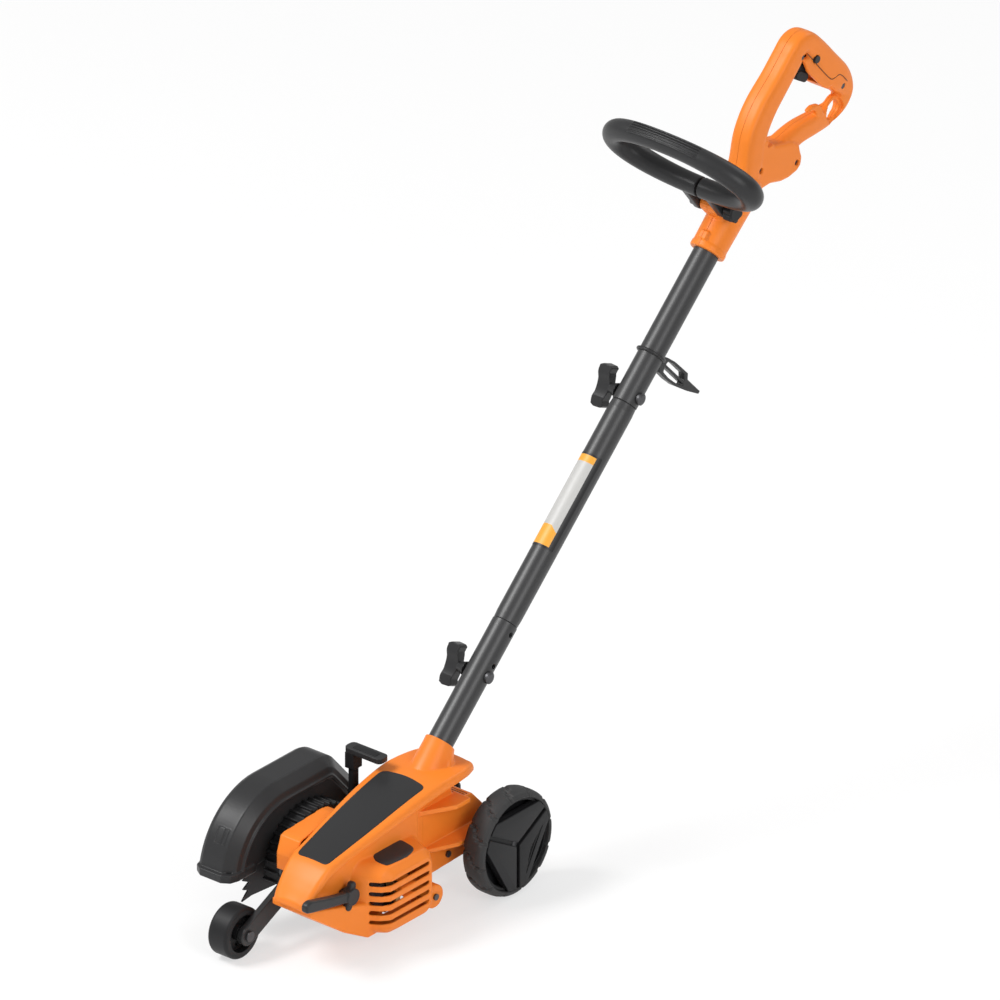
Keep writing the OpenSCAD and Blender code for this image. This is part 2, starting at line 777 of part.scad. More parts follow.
module middle_tube() {
  color(dark) place() on_shaft(0) difference() {
    rotate_extrude($fn = 64) polygon(concat(drawn_end(-30, joint_low + 0.4, 1),
      [for (k = [3:-1:0]) drawn_end(joint_top + 70, joint_top - 0.4, -1)[k]],
      [for (k = [2:-1:0]) drawn_bore(joint_top + 70, joint_top - 0.4, -1)[k]], drawn_bore(-30,
        joint_low + 0.4, 1)));
    for (s = [bolt_low - slide_travel, bolt_low]) translate([-30, 0, s]) rotate([0, 90,
      0]) cylinder(h = 60, r = 3.4);
    translate([-30, -3.4, bolt_low - slide_travel]) cube([60, 6.8, slide_travel]);
    for (s = spare_holes) translate([-30, 0, s]) rotate([0, 90, 0]) cylinder(h = 60, r = 3.5);
    translate([-30, 0, bolt_top]) rotate([0, 90, 0]) cylinder(h = 60, r = 3.05);
  }
}

module upper_tube() {
  color(dark) place() on_shaft(0) difference() {
    translate([0, 0, joint_top]) cylinder(h = shaft_end - joint_top, r = tube_r);
    translate([0, 0, joint_top - 1]) cylinder(h = shaft_end, r = tube_in);
    translate([-30, 0, bolt_top]) rotate([0, 90, 0]) cylinder(h = 60, r = 3.05);
  }
}

module shaft_label() {
  color(black) place() on_shaft(0) difference() {
    translate([0, 0, 230]) rotate(150) rotate_extrude(angle = 190) translate([tube_r + 0.02,
      0]) square([0.35, 126]);
  }
}

module cord_hook() {
  color(dark) place() on_shaft(hook_at) difference() {
    union() {
      rotate_extrude() translate([tube_r + 1.2, 0]) circle(r = 2.2);
      translate([-5, 0, 0]) rotate([0, 90, 0]) linear_extrude(10) difference() {
        polygon([[-2, 15], [2, 15], [11, 26], [11.5, 48], [10, 67], [4, 94], [-3, 117], [-7, 117], [-7, 84],
          [-13, 78], [-12.5, 45], [-10, 28]]);
        polygon([[1, 30], [7, 33], [8, 48], [6.5, 66], [3, 80], [1, 80]]);
        polygon([[-2, 30], [-7, 32], [-9.3, 46], [-9.3, 72], [-4, 78], [-2, 78]]);
      }
    }
    cylinder(h = 80, r = tube_r + 0.1, center = true);
  }
}

// wing knob on the -X end of a cross bolt, waisted bar on a cone
module wing_knob(s) {
  on_shaft(s) rotate([0, -90, 0]) difference() {
    union() {
      translate([0, 0, tube_r + 1]) cylinder(h = 13.2, r1 = 9.4, r2 = 5.2);
      translate([0, 0, tube_r + 3.5]) rotate(-24.4) difference() {
        rotate([90, 0, 0]) linear_extrude(15, center = true)
          polygon([[-7, 8], [7, 8], [17, 11], [23.5, 9], [26, 12], [26.5, 22], [24, 27], [17, 28], [8,
            26], [-8, 26],
            [-17, 28], [-24, 27], [-26.5, 22], [-26, 12], [-23.5, 9], [-17, 11]]);
        for (k = [-1, 1]) translate([0, k * 51.5, 0]) cylinder(h = 40, r = 46, $fn = 96);
      }
    }
    translate([0, 0, 10]) cylinder(h = 29.7, r = 3.04);
  }
}

module lower_knob() {
  color(dark) place() wing_knob(bolt_low);
}

module upper_knob() {
  color(dark) place() wing_knob(bolt_top);
}

// handle loop: [y, z, half depth, half width] along the moulding
loop_path = [[506, 700, 19, 18], [521, 738, 18, 17], [529.5, 772, 18, 16.5], [547, 799.5, 17.2, 16.5],
  [576, 826.5, 15.8, 16], [597, 847, 15.4, 16], [609.5, 859.6, 13.8, 16], [624.5, 860, 13.6, 16], [641,
    843, 15.4, 16],
  [662, 815.5, 18.2, 16], [683, 792, 18, 15.5], [694.8, 778, 14.6, 13], [699.5, 765, 11.6, 11], [693,
    753, 11.4, 9],
  [679, 747.4, 12.6, 8.6], [664, 744.5, 13.6, 9], [639, 743.5, 13.2, 11], [612, 742.4, 13.4, 12], [588,
    736, 14.4, 13],
  [566, 727, 16, 14]];
loop_steps = 46;

function loop_section(u, side) =
  let (c = curve(loop_path, u), e = 0.02, lo = max(u - e, 0), hi = min(u + e, len(loop_path) - 1.001),
    d = curve(loop_path, hi) - curve(loop_path, lo), l = norm([d[0], d[1]]), ny = d[1] / l, nz = -d[0] / l)
  concat(
    [for (k = [0:8]) let (a = -90 + 180 * k / 8, h = c[2] * soften(sin(a), 0.7),
      x = 0.06 + (c[3] - 0.06) * soften(cos(a), 0.6))
      [side * x, c[0] + ny * h, c[1] + nz * h]],
    [for (k = [8:-1:0]) let (a = -90 + 180 * k / 8, h = (c[2] - 2.6) * soften(sin(a), 0.7),
      x = 0.06 + (c[3] - 2.66) * soften(cos(a), 0.6))
      [side * x, c[0] + ny * h, c[1] + nz * h]]);

module handle_base2d(i) {
  polygon([[480 + i, 700], [492 + i, 724 - i], [516, 744 - i], [533, 768 - i], [545, 765 - i], [559,
    751 - i], [592, 744 - i], [604 - i, 735], [606 - i, 726],
    [609 - i, 717], [607 - i, 707 + i], [600, 701 + i], [584, 697.5 + i], [570, 698 + i], [550, 703 + i],
      [536, 702 + i],
    [522, 692 + i], [500 + i, 684 + i]]);
}

handle_posts = [[598, 713], [531, 728], [610, 847], [686, 780]];

module handle_half(side) {
  difference() {
    union() {
      difference() {
        union() {
          if (side > 0) skin([for (k = [0:loop_steps]) loop_section(k * (len(loop_path) - 1.001) /
            loop_steps, 1)]);
          else skin([for (k = [loop_steps:-1:0]) loop_section(k * (len(loop_path) - 1.001) / loop_steps,
            -1)]);
          difference() {
            slab_x(side > 0 ? 0.06 : -16, side > 0 ? 16 : -0.06) handle_base2d(0);
            slab_x(-13.2, 13.2) handle_base2d(2.6);
          }
          intersection() {
            union() {
              on_shaft(637) cylinder(h = 89, r1 = 21.4, r2 = 23.2);
              on_shaft(726) scale([1, 1, 0.9]) sphere(r = 23.2);
              on_shaft(637) cylinder(h = 8, r = 22.6);
              on_shaft(645.5) translate([-6, -25.2, 0]) cube([12, 8, 11]);
            }
            translate([side > 0 ? 0.06 : -40, 380, 600]) cube([39.94, 200, 200]);
          }
          slab_x(side > 0 ? 0.06 : -7, side > 0 ? 7 : -0.06) translate([677,
            748.6]) rotate(32) round2d(33, 21, 9);
          // cheeks of the switch housing
          slab_x(side > 0 ? 8.6 : -14.2, side > 0 ? 14.2 : -8.6)
            polygon([[612, 843], [621.5, 822], [648.5, 793], [658, 786], [672, 792], [641, 842]]);
          // toothed seat of the loop handle
          slab_x(side > 0 ? 0.06 : -12, side > 0 ? 12 : -0.06) link2d([aux_y, aux_z], [aux_y + 18,
            aux_z - 20], 10);
        }
        // way for the trigger
        slab_x(-9, 9) polygon([[602, 838], [612, 798], [650, 798], [662, 810], [642, 846], [622, 850]]);
        // mouth of the power inlet
        translate([-12.6, 571.4, 690]) cube([25.2, 17.2, 36]);
        bar_x(0, 30, button_y, button_z, 5);
        // window for the looped cord
        slab_x(-30, 30) translate([677, 748.6]) rotate(32) round2d(27, 14.4, 6);
      }
      for (p = handle_posts) bar_x(side * 0.06, side * 14, p[0], p[1], 5);
      bar_x(side * 5.2, side * 14, trigger_y, trigger_z, 4.5);
      // cord retainer hook
      if (side > 0) slab_x(3, 10) polygon([[652, 754], [648, 768], [628, 769], [628, 764], [642, 763],
        [642, 752]]);
    }
    for (p = handle_posts) bar_x(-20, 20, p[0], p[1], 2.05);
    for (p = handle_posts) if (side > 0) bar_x(10, 20, p[0], p[1], 3.8);
    bar_x(-20, 20, aux_y, aux_z, 4.05);
    // grip teeth round the seat
    for (a = [135:22.5:247.5]) bar_x(-12.5, 12.5, aux_y + 10.4 * cos(a), aux_z + 10.4 * sin(a), 1.2);
    on_shaft(600) cylinder(h = shaft_end - 600 + 1, r = tube_r + 0.05);
    bar_x(-12.5, 12.5, trigger_y, trigger_z, 2.02);
  }
}

module handle_left() {
  color(orange) place() handle_half(1);
}

module handle_right() {
  color(orange) place() handle_half(-1);
}

module handle_screws() {
  color(steel) place() for (p = handle_posts) {
    bar_x(-9, 10.2, p[0], p[1], 2);
    bar_x(10.1, 13, p[0], p[1], 3.6);
  }
}

module switch_box() {
  color(black) place() slab_x(-8, 8) translate([668, 806]) rotate(-54) square([22, 16], center = true);
}

module trigger_pin() {
  color(steel) place() bar_x(-12, 12, trigger_y, trigger_z, 2);
}

module power_inlet() {
  color(black) place() difference() {
    translate([-12.5, 571.5, 699.2]) cube([25, 17, 26]);
    translate([-9.5, 574.5, 690]) cube([19, 11, 31]);
  }
}

module inlet_pins() {
  color(copper) place() for (s = [-1, 1]) translate([s * 6.35 - 0.75, 577, 707]) cube([1.5, 6, 13.95]);
}

module trigger() {
  color(black) place() difference() {
    union() {
      slab_x(-4.5, 4.5) link2d([trigger_y, trigger_z], [623, 825], 5);
      slab_x(-6.5, 6.5) link2d([617, 825], [621, 819], 7.2);
      slab_x(-8, 8) link2d([612, 820], [622, 814], 6);
    }
    bar_x(-10, 10, trigger_y, trigger_z, 2.05);
  }
}

module lock_button() {
  color(dark) place() {
    bar_x(10, 17.2, button_y, button_z, 4.6);
  }
}

// loop handle section at angle t round the grip
loop_count = 44;
loop_sides = 12;
function loop_frame(t) =
  let (d = aux_reach / norm(aux_reach), x = loop_half_width * soften(cos(t), 0.95),
    w = loop_half_depth * soften(sin(t), 0.95) - loop_lean * x)
  [x, aux_y + aux_reach[0] + w * d[0], aux_z + aux_reach[1] + w * d[1]];
function loop_ring(t) =
  let (k = norm(aux_reach), d = aux_reach / k, c = loop_frame(t), e = loop_frame(t + 1) - loop_frame(t - 1),
    tx = e[0] / norm(e), td = (e[1] * d[0] + e[2] * d[1]) / norm(e))
  [for (j = [0:loop_sides - 1])
    let (a = j * 360 / loop_sides, g = loop_grip * (1 + 0.16 * pow(cos(t), 2)), o = g * cos(a),
      h = g * sin(a))
    [c[0] + td * o, c[1] - tx * o * d[0] - h * d[1], c[2] - tx * o * d[1] + h * d[0]]];

module aux_loop() {
  color(dark) place() difference() {
    union() {
      skin([for (k = [0:loop_count - 1]) loop_ring(k * 360 / loop_count)], true);
      for (x = [-23, 12.6]) slab_x(x, x + 10.4) link2d([aux_y, aux_z], [aux_y - 22, aux_z + 29], 10.5);
    }
    bar_x(-40, 40, aux_y, aux_z, 4.05);
    // slit that lets the clamp close
    bar_x(2.6, 5.8, aux_y + 0.46 * aux_reach[0], aux_z + 0.46 * aux_reach[1], 17);
  }
}

module aux_bolt() {
  color(steel) place() {
    bar_x(-23.4, 36, aux_y, aux_z, 4);
    bar_x(-28, -23.4, aux_y, aux_z, 8.5);
  }
}

module aux_knob() {
  color(black) place() difference() {
    union() {
      bar_x(23.8, 38, aux_y, aux_z, 10);
      for (a = [0:60:300]) translate([0, aux_y, aux_z]) rotate([a, 0, 0]) bar_x(26, 37, 0, 9, 4.2);
    }
    bar_x(20, 36.2, aux_y, aux_z, 4.04);
  }
}

spine_cover();
top_panel();
lower_housing();
motor_badge();
chassis();
gear_case();
housing_screws();
motor_stator();
motor_bearings();
brush_holders();
blade_guard();
guard_screws();
spindle_bearings();
left_axle();
lower_tube();
lower_bolt();
arm_pivot_bolt();
depth_lever();
lever_pad();
lever_pivot();
right_axle();
left_tyre();
left_hub();
right_tyre();
right_hub();
front_arm();
front_axle();
front_wheel();
clamp_lever();
armature();
commutator();
cooling_fan();
pinion();
spindle();
drive_gear();
blade();
blade_flanges();
blade_nut();
middle_tube();
upper_tube();
shaft_label();
cord_hook();
upper_bolt();
lower_knob();
upper_knob();
handle_left();
handle_right();
handle_screws();
switch_box();
trigger_pin();
power_inlet();
inlet_pins();
trigger();
lock_button();
aux_loop();
aux_bolt();
aux_knob();
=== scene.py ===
import json
import math

import bpy
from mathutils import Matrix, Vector

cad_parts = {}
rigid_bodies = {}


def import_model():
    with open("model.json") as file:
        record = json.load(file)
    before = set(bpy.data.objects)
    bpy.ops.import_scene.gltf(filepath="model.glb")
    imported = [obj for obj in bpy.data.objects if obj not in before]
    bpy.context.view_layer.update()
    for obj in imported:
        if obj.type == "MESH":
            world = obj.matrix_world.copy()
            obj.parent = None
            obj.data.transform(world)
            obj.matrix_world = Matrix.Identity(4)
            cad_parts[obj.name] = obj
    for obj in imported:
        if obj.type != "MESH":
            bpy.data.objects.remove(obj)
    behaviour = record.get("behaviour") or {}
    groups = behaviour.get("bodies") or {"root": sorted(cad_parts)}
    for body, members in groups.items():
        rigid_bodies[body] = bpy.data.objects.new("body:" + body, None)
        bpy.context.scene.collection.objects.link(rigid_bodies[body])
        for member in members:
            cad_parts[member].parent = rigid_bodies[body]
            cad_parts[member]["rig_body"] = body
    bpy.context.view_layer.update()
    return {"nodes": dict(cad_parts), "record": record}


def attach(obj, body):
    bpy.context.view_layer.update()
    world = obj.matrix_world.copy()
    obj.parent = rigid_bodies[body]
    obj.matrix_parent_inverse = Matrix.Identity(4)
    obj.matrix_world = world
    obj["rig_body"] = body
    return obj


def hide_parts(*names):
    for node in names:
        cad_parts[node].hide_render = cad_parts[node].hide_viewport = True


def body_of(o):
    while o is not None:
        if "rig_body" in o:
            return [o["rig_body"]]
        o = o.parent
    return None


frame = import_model()

# Working axes of the tool in millimetres: x = 0 is the shaft plane, y = 0 the rear axle, z = 0 the ground.
SHIFT_X, SHIFT_Y = -17.5, 175.35
SHAFT_FOOT = (0.0, -16.8, 212.0)
SHAFT_RISE = math.radians(43)
AXLE_Z = 67


def at(x, y, z):
    """Point of the tool, from millimetres in working axes to metres in the model frame."""
    return Vector((x - SHIFT_X, y - SHIFT_Y, z)) / 1000


# Shader maths

class Value:
    """A shader socket; arithmetic on it adds Math nodes."""

    def __init__(self, finish, socket):
        self.finish, self.socket = finish, socket

    def math(self, operation, other=None, flip=False):
        a, b = (other, self) if flip else (self, other)
        values = {0: a} if b is None else {0: a, 1: b}
        return self.finish.node("Math", {"operation": operation}, values).out()

    def __add__(self, other): return self.math("ADD", other)
    def __radd__(self, other): return self.math("ADD", other, True)
    def __sub__(self, other): return self.math("SUBTRACT", other)
    def __rsub__(self, other): return self.math("SUBTRACT", other, True)
    def __mul__(self, other): return self.math("MULTIPLY", other)
    def __gt__(self, other): return self.math("GREATER_THAN", other)
    def __lt__(self, other): return self.math("LESS_THAN", other)
    def fract(self): return self.math("FRACT")
    def clamp(self): return self.finish.node("Clamp", {}, {"Value": self}).out()


class Made:
    """A node that was just made; out() gives one of its outputs as a Value."""

    def __init__(self, finish, node):
        self.finish, self.node = finish, node

    def out(self, name=0):
        return Value(self.finish, self.node.outputs[name])


class Finish:
    """One material: a Principled shader fed by procedural nodes on Object coordinates."""

    def __init__(self, name, **constants):
        self.material = bpy.data.materials.new(name)
        self.material.use_nodes = True
        self.tree = self.material.node_tree
        self.shader = self.tree.nodes["Principled BSDF"]
        for socket, value in constants.items():
            self.shader.inputs[socket.replace("_", " ")].default_value = value
        self.place = self.node("TexCoord", {}, {}).out("Object")

    def node(self, kind, settings, values):
        made = self.tree.nodes.new("ShaderNode" + kind)
        for key, value in settings.items():
            setattr(made, key, value)
        for key, value in values.items():
            self.feed(made.inputs[key], value)
        return Made(self, made)

    def feed(self, socket, value):
        if isinstance(value, Value):
            self.tree.links.new(value.socket, socket)
        else:
            socket.default_value = value

    def noise(self, scale, detail=2.0, stretch=None):
        """Noise from 0 to 1 with this many features to the metre."""
        place = self.place
        if stretch:
            place = self.node("Mapping", {}, {"Vector": place, "Scale": stretch}).out()
        return self.node("TexNoise", {}, {"Vector": place, "Scale": scale, "Detail": detail}).out()

    def along(self, direction, start):
        """Distance of a surface point from start along direction, in metres."""
        offset = self.node("VectorMath", {"operation": "SUBTRACT"}, {0: self.place, 1: tuple(start)}).out()
        return self.node("VectorMath", {"operation": "DOT_PRODUCT"}, {0: offset, 1: tuple(direction)}).out("Value")

    def mix(self, factor, a, b):
        node = self.node("Mix", {"data_type": "RGBA"}, {"Factor": factor})
        for socket, value in zip([s for s in node.node.inputs if s.type == "RGBA"], (a, b)):
            self.feed(socket, value if isinstance(value, Value) else (*value, 1.0))
        return Value(self, [s for s in node.node.outputs if s.type == "RGBA"][0])

    def spread(self, value, low, high):
        """Value from 0 to 1 remapped to the range low to high."""
        return value * (high - low) + low

    def soft_edge(self, radius):
        """Normal with rounded edges, and a mask of those edges."""
        bevel = self.node("Bevel", {"samples": 4}, {"Radius": radius}).out()
        true = self.node("NewGeometry", {}, {}).out("True Normal")
        flat = self.node("VectorMath", {"operation": "DOT_PRODUCT"}, {0: bevel, 1: true}).out("Value")
        return bevel, ((1 - flat) * 4).clamp()

    def relief(self, height, depth, normal=None):
        """Normal of a surface raised by height times depth in metres."""
        values = {"Height": height, "Distance": depth, "Strength": 1.0}
        if normal is not None:
            values["Normal"] = normal
        return self.node("Bump", {}, values).out()

    def wear(self, colour, rough=None, normal=None):
        """Feeds the shader with varying colour, roughness and normal."""
        for name, value in (("Base Color", colour), ("Roughness", rough), ("Normal", normal)):
            if value is not None:
                self.feed(self.shader.inputs[name], value)
        return self.material


def moulded(name, colour, worn, rough, grain, edge=0.0009):
    """Injection-moulded plastic: spark-eroded grain, flow marks and slightly rubbed edges."""
    f = Finish(name, IOR=1.46, Specular_IOR_Level=0.3)
    rounded, rim = f.soft_edge(edge)
    cloud = f.noise(22, 3)
    fine = f.noise(2600, 2)
    scuff = (f.noise(140, 4) * 1.6 - 0.55).clamp()
    shade = f.mix(f.spread(cloud, 0, 0.5), colour, [c * 0.86 for c in colour])
    shade = f.mix(rim * (0.25 + scuff * 0.4), shade, worn)
    gloss = f.spread(cloud, rough - 0.06, rough + 0.08) - rim * 0.08
    return f.wear(shade, gloss, f.relief(fine, grain, rounded))


def powder_coat(name, colour):
    """Satin powder coat on steel tube, with orange peel and faint lengthwise rub marks."""
    f = Finish(name, IOR=1.5, Coat_Roughness=0.25)
    rounded, rim = f.soft_edge(0.0006)
    peel = f.noise(520, 1)
    rubbed = (f.noise(30, 4, (1, 0.2, 0.2)) * 1.8 - 0.7).clamp()
    shade = f.mix(rubbed * 0.35, colour, [c * 1.5 for c in colour])
    shade = f.mix(rim * 0.5, shade, (0.30, 0.30, 0.31))
    return f.wear(shade, f.spread(peel, 0.36, 0.44), f.relief(peel, 0.000012, rounded))


def plated(name, colour, rough, streak=(1, 1, 14)):
    """Plated or ground metal with fine drawn lines and dull patches."""
    f = Finish(name, Metallic=1.0)
    rounded, _ = f.soft_edge(0.0004)
    lines = f.noise(420, 2, streak)
    dull = (f.noise(60, 3) * 1.5 - 0.4).clamp()
    shade = f.mix(dull * 0.5, colour, [c * 0.62 for c in colour])
    gloss = f.spread(lines, rough - 0.08, rough + 0.10) + dull * 0.12
    return f.wear(shade, gloss, f.relief(lines, 0.00003, rounded))


def tyre_rubber():
    """Dull black rubber with a dusty bloom."""
    f = Finish("tyre_rubber", IOR=1.5)
    rounded, rim = f.soft_edge(0.0008)
    bloom = (f.noise(70, 4) * 1.7 - 0.5).clamp()
    fine = f.noise(1500, 2)
    shade = f.mix(bloom * 0.6, (0.021, 0.021, 0.022), (0.040, 0.039, 0.038))
    shade = f.mix(rim * 0.6, shade, (0.09, 0.088, 0.086))
    return f.wear(shade, f.spread(bloom, 0.62, 0.8), f.relief(fine, 0.00008, rounded))


def laminated_steel():
    """Stack of punched motor sheets, seen on edge."""
    f = Finish("laminated_steel", Metallic=1.0)
    sheets_per_metre = 1400
    sheets = (f.along((1, 0, 0), (0, 0, 0)) * sheets_per_metre).fract()
    shade = f.mix(sheets > 0.78, (0.30, 0.30, 0.32), (0.08, 0.08, 0.09))
    return f.wear(shade, f.spread(f.noise(200), 0.4, 0.6), f.relief(sheets, 0.00008))


def blade_steel():
    """Blackened spring steel, bright where the teeth are ground."""
    f = Finish("blade_steel", Metallic=0.9)
    rounded, rim = f.soft_edge(0.0007)
    grain = f.noise(300, 3, (1, 8, 1))
    shade = f.mix(grain, (0.035, 0.035, 0.037), (0.07, 0.07, 0.072))
    shade = f.mix(rim, shade, (0.42, 0.42, 0.43))
    return f.wear(shade, f.spread(grain, 0.36, 0.5), f.relief(grain, 0.00003, rounded))


def shaft_film():
    """Plain decal on the shaft: black border, amber ends and a pale grey field, with no print."""
    f = Finish("shaft_film", IOR=1.5, Coat_Weight=0.1, Coat_Roughness=0.35)
    low, high, edge = 0.2325, 0.3535, 0.0115
    amber_low, amber_high = 0.2585, 0.3445
    black, grey, gold = (0.006, 0.006, 0.007), (0.50, 0.495, 0.48), (0.80, 0.36, 0.028)
    up = (0, math.cos(SHAFT_RISE), math.sin(SHAFT_RISE))
    s = f.along(up, at(*SHAFT_FOOT))
    side = f.along((1, 0, 0), at(0, 0, 0))
    rough = f.spread(f.noise(160, 2), 0.42, 0.52)
    field = (s > low) * (s < high) * (side < edge)
    slant = s + side.math("MAXIMUM", 0.003) * 0.8 - 0.0024
    amber = ((slant < amber_low) + (s > amber_high)).clamp()
    shade = f.mix(field, black, f.mix(amber, grey, gold))
    return f.wear(shade, rough, f.relief(f.noise(900, 1), 0.00002))


ORANGE, ORANGE_WORN = (0.88, 0.228, 0.024), (0.93, 0.33, 0.07)
DARK, DARK_WORN = (0.028, 0.028, 0.029), (0.06, 0.06, 0.061)
BLACK, BLACK_WORN = (0.013, 0.013, 0.014), (0.04, 0.04, 0.041)

FINISHES = {
    "orange_shell": moulded("orange_shell", ORANGE, ORANGE_WORN, 0.40, 0.00004),
    "dark_plastic": moulded("dark_plastic", DARK, DARK_WORN, 0.36, 0.00003),
    "black_plastic": moulded("black_plastic", BLACK, BLACK_WORN, 0.48, 0.00006),
    "tyre_rubber": tyre_rubber(),
    "tube_paint": powder_coat("tube_paint", (0.030, 0.030, 0.031)),
    "label_film": shaft_film(),
    "zinc_steel": plated("zinc_steel", (0.12, 0.12, 0.125), 0.42),
    "tool_steel": plated("tool_steel", (0.20, 0.20, 0.205), 0.44),
    "lamination": laminated_steel(),
    "blade_steel": blade_steel(),
    "contact_metal": plated("contact_metal", (0.80, 0.52, 0.22), 0.30),
}


SLOTS = {part["node"]: part["material_slot"] for part in frame["record"]["subparts"]}


def dress_nodes():
    """Every CAD node takes the finish of its record slot."""
    for node, slot in SLOTS.items():
        mesh = frame["nodes"][node].data
        mesh.materials.clear()
        mesh.materials.append(FINISHES[slot])
        for face in mesh.polygons:
            face.material_index = 0


dress_nodes()


# Modelling

CURVE_END = 1.001


def placed(name, data):
    """New object with this data in the scene."""
    piece = bpy.data.objects.new(name, data)
    bpy.context.scene.collection.objects.link(piece)
    return piece


def body(node):
    """Body that this CAD node rides on."""
    return body_of(frame["nodes"][node])[0]


def polar(r, degrees, y=0.0, z=0.0):
    """Point (y, z) at radius r and this angle round a centre."""
    a = math.radians(degrees)
    return (y + r * math.cos(a), z + r * math.sin(a))


def only(*pieces):
    """Selects these pieces alone; the first is the active one."""
    bpy.ops.object.select_all(action="DESELECT")
    for piece in pieces:
        piece.select_set(True)
    bpy.context.view_layer.objects.active = pieces[0]


def shaped(piece, kind, **settings):
    """Adds a modifier with these settings and applies it."""
    only(piece)
    modifier = piece.modifiers.new(kind.lower(), kind)
    for key, value in settings.items():
        setattr(modifier, key, value)
    bpy.ops.object.modifier_apply(modifier=modifier.name)
    return piece


def merged(*pieces):
    """Joins the pieces into the first one."""
    only(*pieces)
    bpy.ops.object.join()
    return pieces[0]


def cut(piece, *tools):
    """Takes the tools' volume out of the piece."""
    for tool in tools:
        shaped(piece, "BOOLEAN", operation="DIFFERENCE", solver="EXACT", object=tool)
        bpy.data.objects.remove(tool)
    return piece


def loft(name, rings, loop=False):
    """Closed solid through rings of points in working millimetres; loop joins the last ring to the first."""
    n = len(rings[0])
    points = [at(*p) for ring in rings for p in ring]
    faces = []
    for k in range(len(rings) if loop else len(rings) - 1):
        a, b = k * n, (k + 1) % len(rings) * n
        faces += [(a + j, a + (j + 1) % n, b + (j + 1) % n, b + j) for j in range(n)]
    if not loop:
        faces += [tuple(range(n)), tuple(range(len(points) - n, len(points)))]
    mesh = bpy.data.meshes.new(name)
    mesh.from_pydata(points, [], faces)
    piece = placed(name, mesh)
    only(piece)
    bpy.ops.object.mode_set(mode="EDIT")
    bpy.ops.mesh.select_all(action="SELECT")
    bpy.ops.mesh.normals_make_consistent(inside=False)
    bpy.ops.object.mode_set(mode="OBJECT")
    return piece


def slab(outline, x0, x1, soft=0.0):
    """Plate across the tool from an outline of (y, z), with rounded rims."""
    piece = loft("slab", [[(x, y, z) for y, z in outline] for x in (x0, x1)])
    if soft:
        shaped(piece, "BEVEL", width=soft / 1000, segments=4, limit_method="ANGLE", angle_limit=math.radians(50))
    return piece


def bar(x0, x1, y, z, r, sides=48):
    """Round bar across the tool."""
    bpy.ops.object.select_all(action="DESELECT")
    bpy.ops.mesh.primitive_cylinder_add(vertices=sides, radius=r / 1000, depth=(x1 - x0) / 1000,
                                        location=at((x0 + x1) / 2, y, z), rotation=(0, math.pi / 2, 0))
    bpy.ops.object.transform_apply()
    return bpy.context.object


def stadium(a, b, r, steps=20):
    """Outline round two equal circles."""
    turn = math.atan2(b[1] - a[1], b[0] - a[0])
    ends = []
    for centre, start in ((b, turn - math.pi / 2), (a, turn + math.pi / 2)):
        for k in range(steps + 1):
            a_k = start + math.pi * k / steps
            ends.append((centre[0] + r * math.cos(a_k), centre[1] + r * math.sin(a_k)))
    return ends


def rounded_box(y, z, wide, high, r, turn, steps=8):
    """Outline of a turned rectangle with round corners."""
    outline = []
    for q, (i, j) in enumerate(((1, 1), (-1, 1), (-1, -1), (1, -1))):
        for k in range(steps + 1):
            a = math.pi / 2 * (q + k / steps)
            u, v = i * (wide / 2 - r) + r * math.cos(a), j * (high / 2 - r) + r * math.sin(a)
            outline.append((y + u * math.cos(turn) - v * math.sin(turn),
                            z + u * math.sin(turn) + v * math.cos(turn)))
    return outline


def filleted(corners, steps=6):
    """Outline through corners of (a, b, radius), each rounded off over its radius."""
    outline = []
    for k, (a, b, r) in enumerate(corners):
        corner = Vector((a, b))
        last, after = Vector(corners[k - 1][:2]), Vector(corners[(k + 1) % len(corners)][:2])
        start = corner + (last - corner).normalized() * min(r, (last - corner).length * 0.49)
        end = corner + (after - corner).normalized() * min(r, (after - corner).length * 0.49)
        for i in range(steps + 1):
            t = i / steps
            outline.append(tuple(start * (1 - t) ** 2 + corner * (2 * t * (1 - t)) + end * t * t))
    return outline


def plate(outline, z0, z1, soft=0.0):
    """Level plate from an outline of (x, y)."""
    piece = loft("plate", [[(x, y, z) for x, y in outline] for z in (z0, z1)])
    if soft:
        shaped(piece, "BEVEL", width=soft / 1000, segments=3, limit_method="ANGLE", angle_limit=math.radians(50))
    return piece


def kept(piece, tool):
    """Keeps only the part of the piece that lies inside the tool."""
    shaped(piece, "BOOLEAN", operation="INTERSECT", solver="EXACT", object=tool)
    return piece


def rounded(piece, grid, relax, keep):
    """Fuses overlapping forms into one skin on a grid of this many millimetres, relaxes its joins
    and edges, as on a moulding, and keeps this share of the faces."""
    shaped(piece, "REMESH", mode="VOXEL", voxel_size=grid / 1000)
    shaped(piece, "SMOOTH", factor=0.5, iterations=relax)
    if keep < 1:
        shaped(piece, "DECIMATE", ratio=keep)
    return piece


def finished(piece, name, *nodes, on=None, slot=None, angle=50):
    """Names a piece, gives it its finish and body, and lets it stand for its CAD nodes.
    A piece that stands for none rides with the node given as on."""
    slot = slot or SLOTS[nodes[0]]
    piece.name = piece.data.name = name
    piece.data.materials.clear()
    piece.data.materials.append(FINISHES[slot])
    only(piece)
    bpy.ops.object.shade_smooth_by_angle(angle=math.radians(angle))
    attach(piece, body(on or nodes[0]))
    if nodes:
        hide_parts(*nodes)
    return piece


def soften(value, power):
    """Signed power; below 1 it fills out the corners of an oval."""
    return math.copysign(abs(value) ** power, value)


